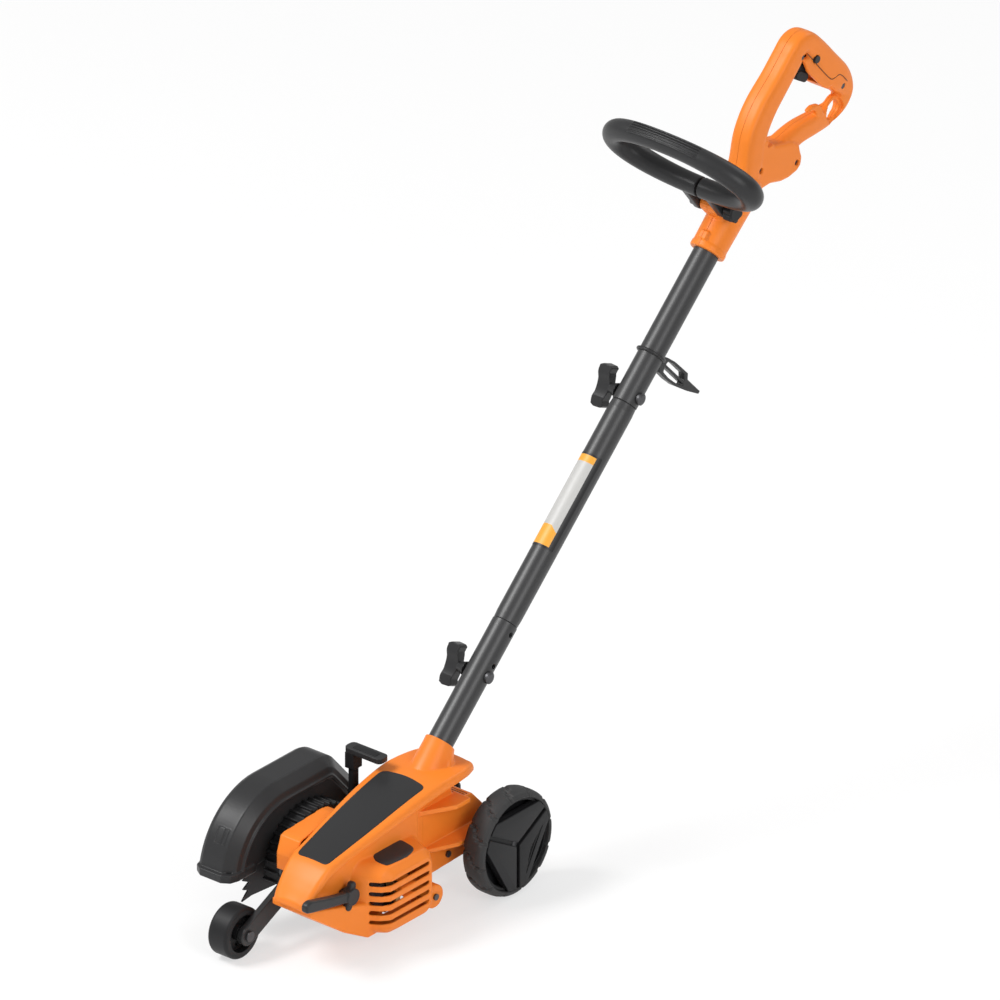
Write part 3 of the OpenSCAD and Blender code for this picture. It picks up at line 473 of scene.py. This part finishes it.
def on_curve(points, u):
    """Smooth curve through points at parameter u."""
    k = min(int(u), len(points) - 2)
    f = u - k
    p = [points[min(max(k + i, 0), len(points) - 1)] for i in (-1, 0, 1, 2)]
    return [0.5 * (2 * b + (c - a) * f + (2 * a - 5 * b + 4 * c - d) * f * f + (3 * b - a - 3 * c + d) * f ** 3)
            for a, b, c, d in zip(*p)]


def curve_steps(points, count):
    """Evenly spaced parameters over the whole curve."""
    return [k * (len(points) - CURVE_END) / count for k in range(count + 1)]


def rod(name, points, r):
    """Thin round rod along points in working millimetres."""
    curve = bpy.data.curves.new(name, "CURVE")
    curve.dimensions = "3D"
    curve.bevel_depth = r / 1000
    curve.bevel_resolution = 2
    curve.use_fill_caps = True
    spline = curve.splines.new("POLY")
    spline.points.add(len(points) - 1)
    for point, p in zip(spline.points, points):
        point.co = (*at(*p), 1)
    only(placed(name, curve))
    bpy.ops.object.convert(target="MESH")
    return bpy.context.object


# D-handle: front arm, top bend, rear grip and lower bar along one path of (y, z, half depth, half width)

GRIP_PATH = [
    (506, 700, 19, 18), (521, 738, 18, 17), (529.5, 772, 18, 16.5), (547, 799.5, 17.2, 16.5),
    (576, 826.5, 15.8, 16), (597, 847, 15.4, 16), (609.5, 859.6, 13.8, 16), (624.5, 860, 13.6, 16),
    (641, 843, 15.4, 16), (662, 815.5, 18.2, 16), (683, 792, 18, 15.5), (694.8, 778, 14.6, 13),
    (699.5, 765, 11.6, 11), (693, 753, 11.4, 9), (679, 747.4, 12.6, 8.6), (664, 744.5, 13.6, 9),
    (639, 743.5, 13.2, 11), (612, 742.4, 13.4, 12), (588, 736, 14.4, 13), (566, 727, 16, 14)]
BASE = [
    (480, 700), (492, 724), (516, 744), (533, 768), (545, 765), (559, 751), (592, 744), (604, 735), (606, 726),
    (609, 717), (607, 707), (600, 701), (584, 697.5), (570, 698), (550, 703), (536, 702), (522, 692), (500, 684)]
CHEEK = [(612, 843), (621.5, 822), (648.5, 793), (658, 786), (672, 792), (641, 842)]
TRIGGER_WAY = [(602, 838), (612, 798), (650, 798), (662, 810), (642, 846), (622, 850)]
INLET_MOUTH = [(571.4, 690), (588.6, 690), (588.6, 726), (571.4, 726)]
LOCK_BUTTON = (634, 836)
CORD_LIP = [
    (655, 752), (652, 764), (645, 770), (634, 772), (626, 769), (625, 765.5), (633, 766), (640, 763), (643, 752)]
CORD_WINDOW, CORD_TILT, CORD_WEB = (677, 748.6), math.radians(32), 3.6
GUSSET = [(544.2, 753.5), (547.2, 777), (556.5, 771), (566.7, 753.9)]
SLEEVE = [
    (637, 21.2), (638, 22.6), (644.4, 22.6), (645.4, 21.6), (726, 23.2), (734, 21.8), (740, 18.6), (744, 14),
    (746.4, 7)]
LATCH = [(-6, 15), (6, 15), (6, 25.2), (-6, 25.2)]
BEYOND_HANDLE = [(400, 600), (800, 600), (800, 950), (400, 950)]
GRIP_SCREWS = [(598, 713), (531, 728), (610, 847), (686, 780)]
LOOP_AXIS = (459.6, 707.0)


def grip_ring(u, sides=48):
    """Section of the handle's bar, square to the path."""
    y, z, deep, wide = on_curve(GRIP_PATH, u)
    a = on_curve(GRIP_PATH, max(u - 0.02, 0))
    b = on_curve(GRIP_PATH, min(u + 0.02, len(GRIP_PATH) - CURVE_END))
    step = math.hypot(b[0] - a[0], b[1] - a[1])
    ny, nz = (b[1] - a[1]) / step, (a[0] - b[0]) / step
    ring = []
    for k in range(sides):
        t = 2 * math.pi * k / sides
        h = deep * soften(math.sin(t), 0.54)
        ring.append((wide * soften(math.cos(t), 0.46), y + ny * h, z + nz * h))
    return ring


def shaft_point(s, x, front):
    """Point s along the shaft from its foot, x across and front away from its axis, towards the loop handle."""
    c, d = math.cos(SHAFT_RISE), math.sin(SHAFT_RISE)
    return (x, SHAFT_FOOT[1] + s * c - front * d, SHAFT_FOOT[2] + s * d + front * c)


def shaft_ring(s, r, sides=64):
    """Circle round the shaft's axis."""
    turns = [2 * math.pi * k / sides for k in range(sides)]
    return [shaft_point(s, r * math.cos(a), r * math.sin(a)) for a in turns]


def cord_window(wide, high, r):
    """Outline of the cord's window at this size."""
    return rounded_box(*CORD_WINDOW, wide, high, r, CORD_TILT)


def d_handle():
    """Both halves of the D-handle, made in one and split along the middle plane."""
    grip = loft("d_handle", [grip_ring(u) for u in curve_steps(GRIP_PATH, 180)])
    y, z = LOOP_AXIS
    forms = [
        slab(BASE, -16, 16, 5),
        loft("sleeve", [shaft_ring(s, r) for s, r in SLEEVE]),
        loft("latch", [[shaft_point(s, x, front) for x, front in LATCH] for s in (645.5, 656.5)]),
        slab(cord_window(37, 29, 12), -CORD_WEB, CORD_WEB, 1),
        slab(CHEEK, -14.2, 14.2, 2.5),
        slab(stadium(LOOP_AXIS, (y + 18, z - 20), 10), -12, 12, 1.2),
        slab(CORD_LIP, 3, 10, 1.2)]
    handle = rounded(merged(grip, *forms), 0.9, 5, 1)
    seat_teeth = [polar(10.4, a, y, z) for a in (135, 157.5, 180, 202.5, 225, 247.5)]
    cut(handle,
        slab(TRIGGER_WAY, -9, 9),
        slab(INLET_MOUTH, -12.6, 12.6),
        slab(cord_window(31, 25, 9), CORD_WEB, 30),
        slab(cord_window(31, 25, 9), -30, -CORD_WEB),
        slab(cord_window(25, 19, 8), -30, 30),
        slab(GUSSET, 9.5, 22),
        slab(GUSSET, -22, -9.5),
        bar(0, 30, *LOCK_BUTTON, 5),
        *[bar(11, 22, *screw, 3.8) for screw in GRIP_SCREWS],
        *[bar(-14, 14, *tooth, 1.2, 12) for tooth in seat_teeth])
    rounded(handle, 0.8, 2, 0.45)
    for name, node, side in (("handle_left_shell", "handle_left", 1), ("handle_right_shell", "handle_right", -1)):
        half = placed(name, handle.data.copy())
        cut(half, slab(BEYOND_HANDLE, *sorted((side * 0.2, side * -60))))
        finished(half, name, node, angle=60)
    bpy.data.objects.remove(handle)


d_handle()


# Loop handle: an oval grip leaning on two lugs that clamp the handle's seat

LOOP_WIDE, LOOP_DEEP, LOOP_GRIP, LOOP_LEAN = 98.15, 49.0, 12.8, 0.07
LOOP_REACH = (-54.2, 72.8)


def loop_centre(t):
    """Point of the grip's centre line at angle t round the oval."""
    k = math.hypot(*LOOP_REACH)
    x = LOOP_WIDE * soften(math.cos(t), 0.95)
    w = LOOP_DEEP * soften(math.sin(t), 0.95) - LOOP_LEAN * x
    y, z = [axis + reach + w * reach / k for axis, reach in zip(LOOP_AXIS, LOOP_REACH)]
    return Vector((x, y, z))


def loop_point(t, a, extra=0.0):
    """Point of the grip at angle t round the oval and angle a round its section, from the outside."""
    k = math.hypot(*LOOP_REACH)
    away = Vector((0, LOOP_REACH[0] / k, LOOP_REACH[1] / k))
    along = (loop_centre(t + 0.02) - loop_centre(t - 0.02)).normalized()
    out = Vector((along.dot(away), *(-along.x * away)[1:]))
    up = Vector((0, -away.z, away.y))
    g = LOOP_GRIP * (1 + 0.16 * math.cos(t) ** 2) + extra
    return loop_centre(t) + out * g * math.cos(a) + up * g * math.sin(a)


LOOP_SEAM = 0.46
RIDGES = [(62, 122, (-38, -22, -6, 10, 26)), (196, 234, (-22, -6, 10))]


def grip_ridge(first, last, a):
    """Ridge between two angles in degrees round the oval; its ends sink into the grip."""
    points = []
    for k in range(41):
        sink = 1.6 * (abs(k - 20) > 18)
        points.append(loop_point(math.radians(first + (last - first) * k / 40), math.radians(a), 0.5 - sink))
    return rod("ridge", points, 1.1)


def loop_handle():
    y, z = LOOP_AXIS
    sections = [2 * math.pi * k / 128 for k in range(128)]
    round_section = [2 * math.pi * j / 32 for j in range(32)]
    grip = loft("loop", [[loop_point(t, a) for a in round_section] for t in sections], loop=True)
    lugs = [slab(stadium((y, z), (y - 22, z + 29), 10.5), x, x + 10.4, 2) for x in (-23, 12.6)]
    grip = rounded(merged(grip, *lugs), 0.8, 6, 1)
    cut(grip, bar(2.6, 5.8, y + LOOP_SEAM * LOOP_REACH[0], z + LOOP_SEAM * LOOP_REACH[1], 17))
    rounded(grip, 0.8, 2, 0.45)
    finished(grip, "loop_handle", "aux_loop", angle=60)
    ridges = [grip_ridge(first, last, a) for first, last, angles in RIDGES for a in angles]
    finished(merged(*ridges), "loop_grip_ridges", on="aux_loop", slot=SLOTS["aux_loop"])


loop_handle()


# Spine of the head: an arched crown with a flared collar round the shaft, and the panel let into it,
# through stations of (y, top, half width, skirt depth, taper of the side)

SPINE = [
    (-18, 166, 34, 10, 6.5), (-40, 169, 42, 11, 6.5), (-75, 170.6, 45.5, 12.5, 6.5), (-104, 168.8, 45.5, 13, 6.5),
    (-150, 160.4, 43.2, 11.5, 6.5), (-208, 146.6, 37.8, 10.5, 6.5), (-245, 137.3, 33.8, 10, 6.5),
    (-274, 129.4, 31.4, 11, 7), (-290, 118.5, 30, 12, 8), (-302, 106.5, 28.5, 13, 9.5), (-311, 96, 26, 9, 10),
    (-315.5, 91, 23, 8.2, 9.5)]
PANEL = [
    (-23, -274, 7), (23, -274, 7), (30.4, -189, 70), (33.5, -106, 9), (0, -100.5, 26), (-33.5, -106, 9),
    (-30.4, -189, 70)]
CROWN = 1.6
COLLAR_TOP, COLLAR_R, COLLAR_FOOT = -31, 19.2, (0, -60, 160)


def spine_solid(rise=0.0):
    """Solid of the crown and its skirts, lifted by rise."""
    rings = []
    for u in curve_steps(SPINE, 99):
        y, top, wide, skirt, taper = on_curve(SPINE, u)
        half = [(wide - 0.8, top - skirt)]
        for j in range(9):
            t = math.pi / 2 * j / 8
            half.append((wide - taper + taper * math.cos(t) ** 0.8,
                         top - 0.85 * skirt * (1 - math.sin(t) ** 0.9)))
        half += [((wide - taper) * f, top + CROWN * (1 - f * f)) for f in (0.8, 0.6, 0.4, 0.2)]
        side = [(x, y, z + rise) for x, z in half]
        rings.append(side + [(0, y, top + CROWN + rise)] + [(-x, y, z) for x, y, z in reversed(side)])
    return loft("spine", rings)


def collar():
    """Cone that flares from the shaft into the crown."""
    rings = []
    top, foot = Vector(shaft_point(COLLAR_TOP, 0, 0)), Vector(COLLAR_FOOT)
    for k in range(13):
        t = k / 12
        ring = []
        for j in range(64):
            a = 2 * math.pi * j / 64
            upper = Vector(shaft_point(COLLAR_TOP, COLLAR_R * math.cos(a), COLLAR_R * math.sin(a))) - top
            wide = 25 if math.sin(a) > 0 else 31
            lower = Vector((wide * math.cos(a), -37 * math.sin(a), 0))
            ring.append(tuple(top.lerp(foot, t) + upper.lerp(lower, t ** 1.35)))
        rings.append(ring)
    return loft("collar", rings)


def spine():
    cover = rounded(merged(spine_solid(), collar()), 1.0, 5, 0.5)
    loose_panel = [(x * 1.012, y + math.copysign(0.4, y + 190), r) for x, y, r in PANEL]
    recess = plate(filleted(loose_panel), 100, 200)
    cut(recess, spine_solid(-1.3))
    cut(cover, recess)
    finished(cover, "spine_shell", "spine_cover", angle=40)
    panel = plate(filleted(PANEL), 100, 200)
    raised = spine_solid(0.1)
    kept(panel, raised)
    cut(panel, spine_solid(-1.2))
    bpy.data.objects.remove(raised)
    shaped(panel, "BEVEL", width=0.0004, segments=2, limit_method="ANGLE", angle_limit=math.radians(50))
    finished(panel, "spine_panel", "top_panel", angle=40)


spine()


# Motor badge: a plain dark plate with round corners, let into the upper facet of the motor dome

BADGE = [(-19, -16, 8), (-4, -31.5, 9), (13, -27.5, 9), (16.5, 9, 14), (10, 28, 8), (-15.5, 26, 9)]
BADGE_CENTRE, BADGE_LEAN = (43, -176, 114), math.atan(7.3 / 33)


def badge():
    x0, y0, z0 = BADGE_CENTRE
    c, d = math.cos(BADGE_LEAN), math.sin(BADGE_LEAN)
    rings = []
    for inset, h in ((0.0, -1.4), (0.0, 0.2), (0.5, 0.55), (1.4, 0.75), (6, 1.0), (12, 1.1)):
        f = 1 - inset / 20
        rings.append([(x0 + x * f * c + h * d, y0 + y * f, z0 - x * f * d + h * c) for x, y in filleted(BADGE)])
    finished(loft("badge", rings), "badge_plate", "motor_badge", angle=30)


badge()


# Blade guard: one chamfered channel swept over the blade, with a rolled lip and two sight marks at the front

GUARD_SKIN = [
    (10, -94), (79, -94), (80.5, -90.6), (83, -90.2), (84.5, -93.2), (91.5, -95), (103, -107), (103, -139),
    (100.5, -144), (96, -146), (72, -146), (72, -143), (95, -143), (98, -141.2), (100, -137.5), (100, -108.5),
    (90, -98), (83, -97), (10, -97)]
GUARD_FRONT, GUARD_REAR, GUARD_Z = -210.0, -135.0, 70.5
GUARD_CROWN, REAR_CROWN, REAR_FALL, REAR_LENGTH = 103.0, 35, 41, 90
BELOW_FRONT = [(-170, -340), (-80, -340), (-80, -155.5), (-170, -155.5)]
BELOW_REAR = [(-170, -155.5), (-80, -155.5), (-80, -40), (-170, -40)]
LIP = [
    (-149.5, -267), (-149.5, -300), (-146, -311), (-136, -317.5), (-104, -317.5), (-94, -311), (-90.5, -300),
    (-90.5, -267)]
LIP_HOLLOW = [
    (-144.4, -260), (-144.4, -298), (-141.6, -306), (-134, -311.4), (-106, -311.4), (-98.4, -306), (-95.6, -298),
    (-95.6, -260)]
SIGHT_MARKS = [(-119, -128), (-113, -116)]


def guard_ring(profile, y, z, angle, crown=GUARD_CROWN):
    """Ring of the guard's skin where its crown, of this radius, has its centre at (y, z)."""
    c, d = math.cos(math.radians(angle)), math.sin(math.radians(angle))
    return [(x, y + (r - GUARD_CROWN + crown) * c, z + (r - GUARD_CROWN + crown) * d) for r, x in profile]


def sight_mark(x0, x1):
    """Raised strip on the front of the crown."""
    strip = [(101, x0), (104, x0), (104, x1), (101, x1)]
    return loft("mark", [guard_ring(strip, GUARD_FRONT, GUARD_Z, 151 - a) for a in range(12)])


def guard():
    rear_z = GUARD_Z + GUARD_CROWN - REAR_CROWN
    rings = [guard_ring(GUARD_SKIN, GUARD_FRONT, GUARD_Z, 185 - 95 * k / 38) for k in range(39)]
    rings += [guard_ring(GUARD_SKIN, GUARD_REAR, rear_z, 90 - (90 - REAR_FALL) * k / 14, REAR_CROWN) for k in range(15)]
    rear_end = (GUARD_REAR + 0.656 * REAR_LENGTH, rear_z - 0.755 * REAR_LENGTH)
    rings += [guard_ring(GUARD_SKIN, *rear_end, REAR_FALL, REAR_CROWN)]
    shell = rounded(loft("guard", rings), 0.8, 1, 1)
    cut(shell, plate(BELOW_FRONT, -60, 86), plate(BELOW_REAR, -60, 68))
    lip = plate(LIP, 79.6, 90, 1.4)
    cut(lip, plate(LIP_HOLLOW, 70, 100))
    marks = [sight_mark(*mark) for mark in SIGHT_MARKS]
    cheek = bar(-97, -94, -178, 66, 46, 64)
    whole = rounded(merged(shell, lip, cheek, *marks), 0.8, 2, 0.4)
    cut(whole, bar(-100, -90, -181, 56.3, 20.2))
    finished(whole, "guard_shell", "blade_guard", angle=40)


guard()


# Wheel centres: three plates round a Y groove, with open gaps between each plate's edge and the rim

HUB_R, HUB_FLAT, HUB_GROOVE = 58.0, 43.0, 2.8


def hub_plate(turn, shrink=0.0):
    """Outline in (y, z) of the plate that is centred on this angle."""
    reach = math.degrees(math.acos(HUB_FLAT / HUB_R))
    points = [(HUB_GROOVE * 2 / math.sqrt(3) + 2 * shrink, 0)]
    r = HUB_R - 0.3 - shrink
    slip = math.degrees(math.asin((HUB_GROOVE + shrink) / r))
    for start in (-60 + slip, reach):
        points += [polar(r, start + (60 - slip - reach) * k / 6) for k in range(7)]
    c, d = math.cos(math.radians(turn)), math.sin(math.radians(turn))
    return [(y * c - z * d, y * d + z * c + AXLE_Z) for y, z in points]


# Tyre section as (radius, x), with a lug every 30 degrees
TYRE_SKIN = [
    (58.4, 8), (58.4, 15.2), (60, 16.5), (62.5, 15.8), (65.5, 12.6), (66.6, 9), (67, 5), (67, 2), (67, -2), (67, -5),
    (66.6, -9), (65.5, -12.6), (62.5, -15.8), (60, -16.5), (58.4, -15.2), (58.4, -8), (54.5, -7), (54.5, 7)]
LUG_PITCH = 30


def tyre_ring(angle, x0):
    """Section of the tyre at this angle in degrees, with the Z-shaped grooves between its lugs."""
    ring = []
    for r, x in TYRE_SKIN:
        shift = max(-6.0, min(6.0, x * 1.5)) + (x > 11) * 3 - (x < -11) * 3
        off = abs((angle - shift + LUG_PITCH / 2) % LUG_PITCH - LUG_PITCH / 2)
        r -= (2.6 if r > 61 else 0.8) * (r > 59.5) * max(0.0, min(1.0, (2.5 - off) / 0.8))
        ring.append((x0 + x, *polar(r, angle, 0, AXLE_Z)))
    return ring


def tyre(x0, name, node):
    rings = [tyre_ring(k * 0.75, x0) for k in range(480)]
    finished(loft(name, rings, loop=True), name, node, angle=35)


tyre(70, "left_tyre_tread", "left_tyre")
tyre(-70, "right_tyre_tread", "right_tyre")


def wheel_centre(side, name, node):
    def span(a, b):
        return (a, b) if side > 0 else (-b, -a)

    plates = [slab(hub_plate(a), *span(81.5, 87), 0.9) for a in (90, 210, 330)]
    cut(plates[2], slab(hub_plate(330, 11), *span(84.6, 95)))
    inner = slab(hub_plate(330, 15), *span(83, 86.2), 0.6)
    reach = math.degrees(math.acos(HUB_FLAT / HUB_R))
    dish = []
    for turn in (90, 210, 330):
        dish += [polar(HUB_R, turn + k * reach, 0, AXLE_Z) for k in (-1, 1)]
    backing = slab(dish, *span(76.5, 82), 0.8)
    rim = bar(*span(57, 82), 0, AXLE_Z, HUB_R, 96)
    cut(rim, bar(*span(56, 84), 0, AXLE_Z, HUB_R - 3.2, 96))
    web = bar(*span(66, 69), 0, AXLE_Z, HUB_R - 2, 96)
    core = bar(*span(53.5, 77), 0, AXLE_Z, 14, 48)
    finished(merged(rim, *plates, inner, backing, web, core), name, node, angle=35)


wheel_centre(1, "left_wheel_centre", "left_hub")
wheel_centre(-1, "right_wheel_centre", "right_hub")


# Clamp lever of the front arm

ARM_PIVOT = (-250, 85)
CLAMP_GRIP = [
    (6, -7, 4), (8, 6, 4), (-30, 12, 30), (-76, 24.5, 4), (-84, 21, 4), (-84, 11.5, 4), (-77, 9, 4), (-32, -0.5, 30)]


def clamp():
    y, z = ARM_PIVOT
    grip = filleted([(y + i, z + j, r) for i, j, r in CLAMP_GRIP])
    ears = stadium((y + 3, z + 13), (y - 4, z - 13), 5)
    forms = [bar(32, 45, y, z, 10.5), slab(grip, 34, 43.5, 2.4), slab(ears, 34.5, 42, 1.5)]
    finished(rounded(merged(*forms), 0.6, 5, 0.5), "clamp_grip", "clamp_lever", angle=50)


clamp()


# Plain gloss plate on the pad of the depth lever

def pad_plate():
    outline = filleted([(-74, -113, 2.5), (-38, -113, 2.5), (-38, -103, 2.5), (-74, -103, 2.5)])
    finished(plate(outline, 187.6, 188.5, 0.2), "pad_plate", on="lever_pad", slot="black_plastic")


pad_plate()


# Other mouldings: the CAD solids with their edges and joins rounded, as (grid, relax, keep)

MOULDINGS = {
    "lower_housing": (1.0, 10, 0.4), "chassis": (0.8, 3, 0.4), "gear_case": (0.9, 3, 0.4),
    "front_arm": (0.7, 6, 0.5), "depth_lever": (0.7, 6, 0.5), "cord_hook": (0.6, 5, 0.5),
    "lever_pad": (0.5, 8, 0.5), "lower_knob": (0.5, 6, 0.5), "upper_knob": (0.5, 6, 0.5),
    "trigger": (0.45, 7, 0.5), "aux_knob": (0.5, 4, 0.5)}
VENT, VENT_HIGH = [(46, -226.0), (90, -226.0), (90, -138.0), (46, -138.0)], 4.6
VENT_FLOORS = [40.03, 52.63, 65.23, 77.83, 90.43]
BADGE_WALL = [(29.4, -196), (32.4, -196), (32.4, -146), (29.4, -146)]
FLANGE_GAP = [(28.3, -118), (31, -118), (56, -72), (56, -40), (28.3, -40)]


def moulding(node, grid, relax, keep):
    """Rounded copy of a CAD node. The vents go on through the bearing seat, the wall behind the badge
    is closed, and the gap between the chassis flanges is opened."""
    piece = placed(node + "_moulding", frame["nodes"][node].data.copy())
    only(piece)
    bpy.ops.object.mode_set(mode="EDIT")
    bpy.ops.mesh.select_all(action="SELECT")
    bpy.ops.mesh.remove_doubles(threshold=0.00001)
    bpy.ops.object.mode_set(mode="OBJECT")
    if node == "lower_housing":
        cut(piece, *[plate(VENT, z, z + VENT_HIGH) for z in VENT_FLOORS])
        merged(piece, plate(BADGE_WALL, 110, 128))
    if node == "chassis":
        cut(piece, plate(FLANGE_GAP, 85.2, 130.8))
    finished(rounded(piece, grid, relax, keep), node + "_moulding", node, angle=60)


for node, settings in MOULDINGS.items():
    moulding(node, *settings)


SEAM_PATH = [
    (615.8, 850.7), (624.5, 840.8), (644.4, 816.8), (660, 800.1), (667.9, 798.6), (675.5, 799.7), (682.3, 795.4),
    (691, 785.3)]


def grip_seam_painted_shade():
    """Wavy line on the rear grip where its two materials would meet; its dark rod is painted shade standing in for the
    groove there.
    """
    points = [(15.75, *on_curve(SEAM_PATH, u)) for u in curve_steps(SEAM_PATH, 80)]
    finished(rod("grip_seam_painted_shade", points, 0.45), "grip_seam_painted_shade", on="handle_left", slot="black_plastic")


grip_seam_painted_shade()


# Studio

LAMPS = [
    ("key_lamp", (-2.2, -2.6, 4.2), 1.8, 200),
    ("side_lamp", (3.6, -1.4, 2.4), 1.8, 62),
    ("back_lamp", (0.5, 4.0, 3.2), 2.5, 40)]
LAMP_TARGET = Vector((0, 0, 0.35))


def studio():
    """Pale floor and soft lamps."""
    bpy.ops.object.select_all(action="DESELECT")
    bpy.ops.mesh.primitive_plane_add(size=60, location=(0, 0, -0.0005))
    floor = bpy.context.object
    floor.name = "studio_floor"
    f = Finish("studio_floor", Roughness=0.9)
    floor.data.materials.append(f.wear(f.mix(f.noise(3, 2), (0.93, 0.93, 0.93), (0.95, 0.95, 0.95))))
    paper = f.node("Emission", {}, {"Strength": 1.0}).out()
    seen = f.node("LightPath", {}, {})
    lit = ((seen.out("Is Camera Ray") + seen.out("Is Glossy Ray")) * 0.6).clamp()
    mixed = f.node("MixShader", {}, {0: lit, 1: Value(f, f.shader.outputs[0]), 2: paper}).out()
    f.feed(f.tree.nodes["Material Output"].inputs["Surface"], mixed)
    world = bpy.data.worlds.new("studio")
    world.use_nodes = True
    background = world.node_tree.nodes["Background"]
    background.inputs["Color"].default_value = (1, 1, 1, 1)
    background.inputs["Strength"].default_value = 0.46
    bpy.context.scene.world = world
    for name, place, size, power in LAMPS:
        lamp = placed(name, bpy.data.lights.new(name, "AREA"))
        lamp.data.size = size
        lamp.data.energy = power
        lamp.location = place
        lamp.rotation_euler = (LAMP_TARGET - Vector(place)).to_track_quat("-Z", "Y").to_euler()


def photo_camera():
    """Nearly parallel view, 40 degrees round and 27.5 degrees above."""
    turn, rise, distance, field = math.radians(40), math.radians(27.5), 40.0, 1.176
    target = at(0, 69.9, 468.5)
    back = Vector((math.sin(turn) * math.cos(rise), -math.cos(turn) * math.cos(rise), math.sin(rise)))
    camera = placed("photo_camera", bpy.data.cameras.new("photo_camera"))
    camera.data.sensor_width = 36
    camera.data.lens = camera.data.sensor_width * distance / field
    camera.data.clip_end = 200
    camera.location = target + back * distance
    camera.rotation_euler = (-back).to_track_quat("-Z", "Y").to_euler()
    bpy.context.scene.camera = camera


studio()
photo_camera()
bpy.context.scene.view_settings.view_transform = "Standard"
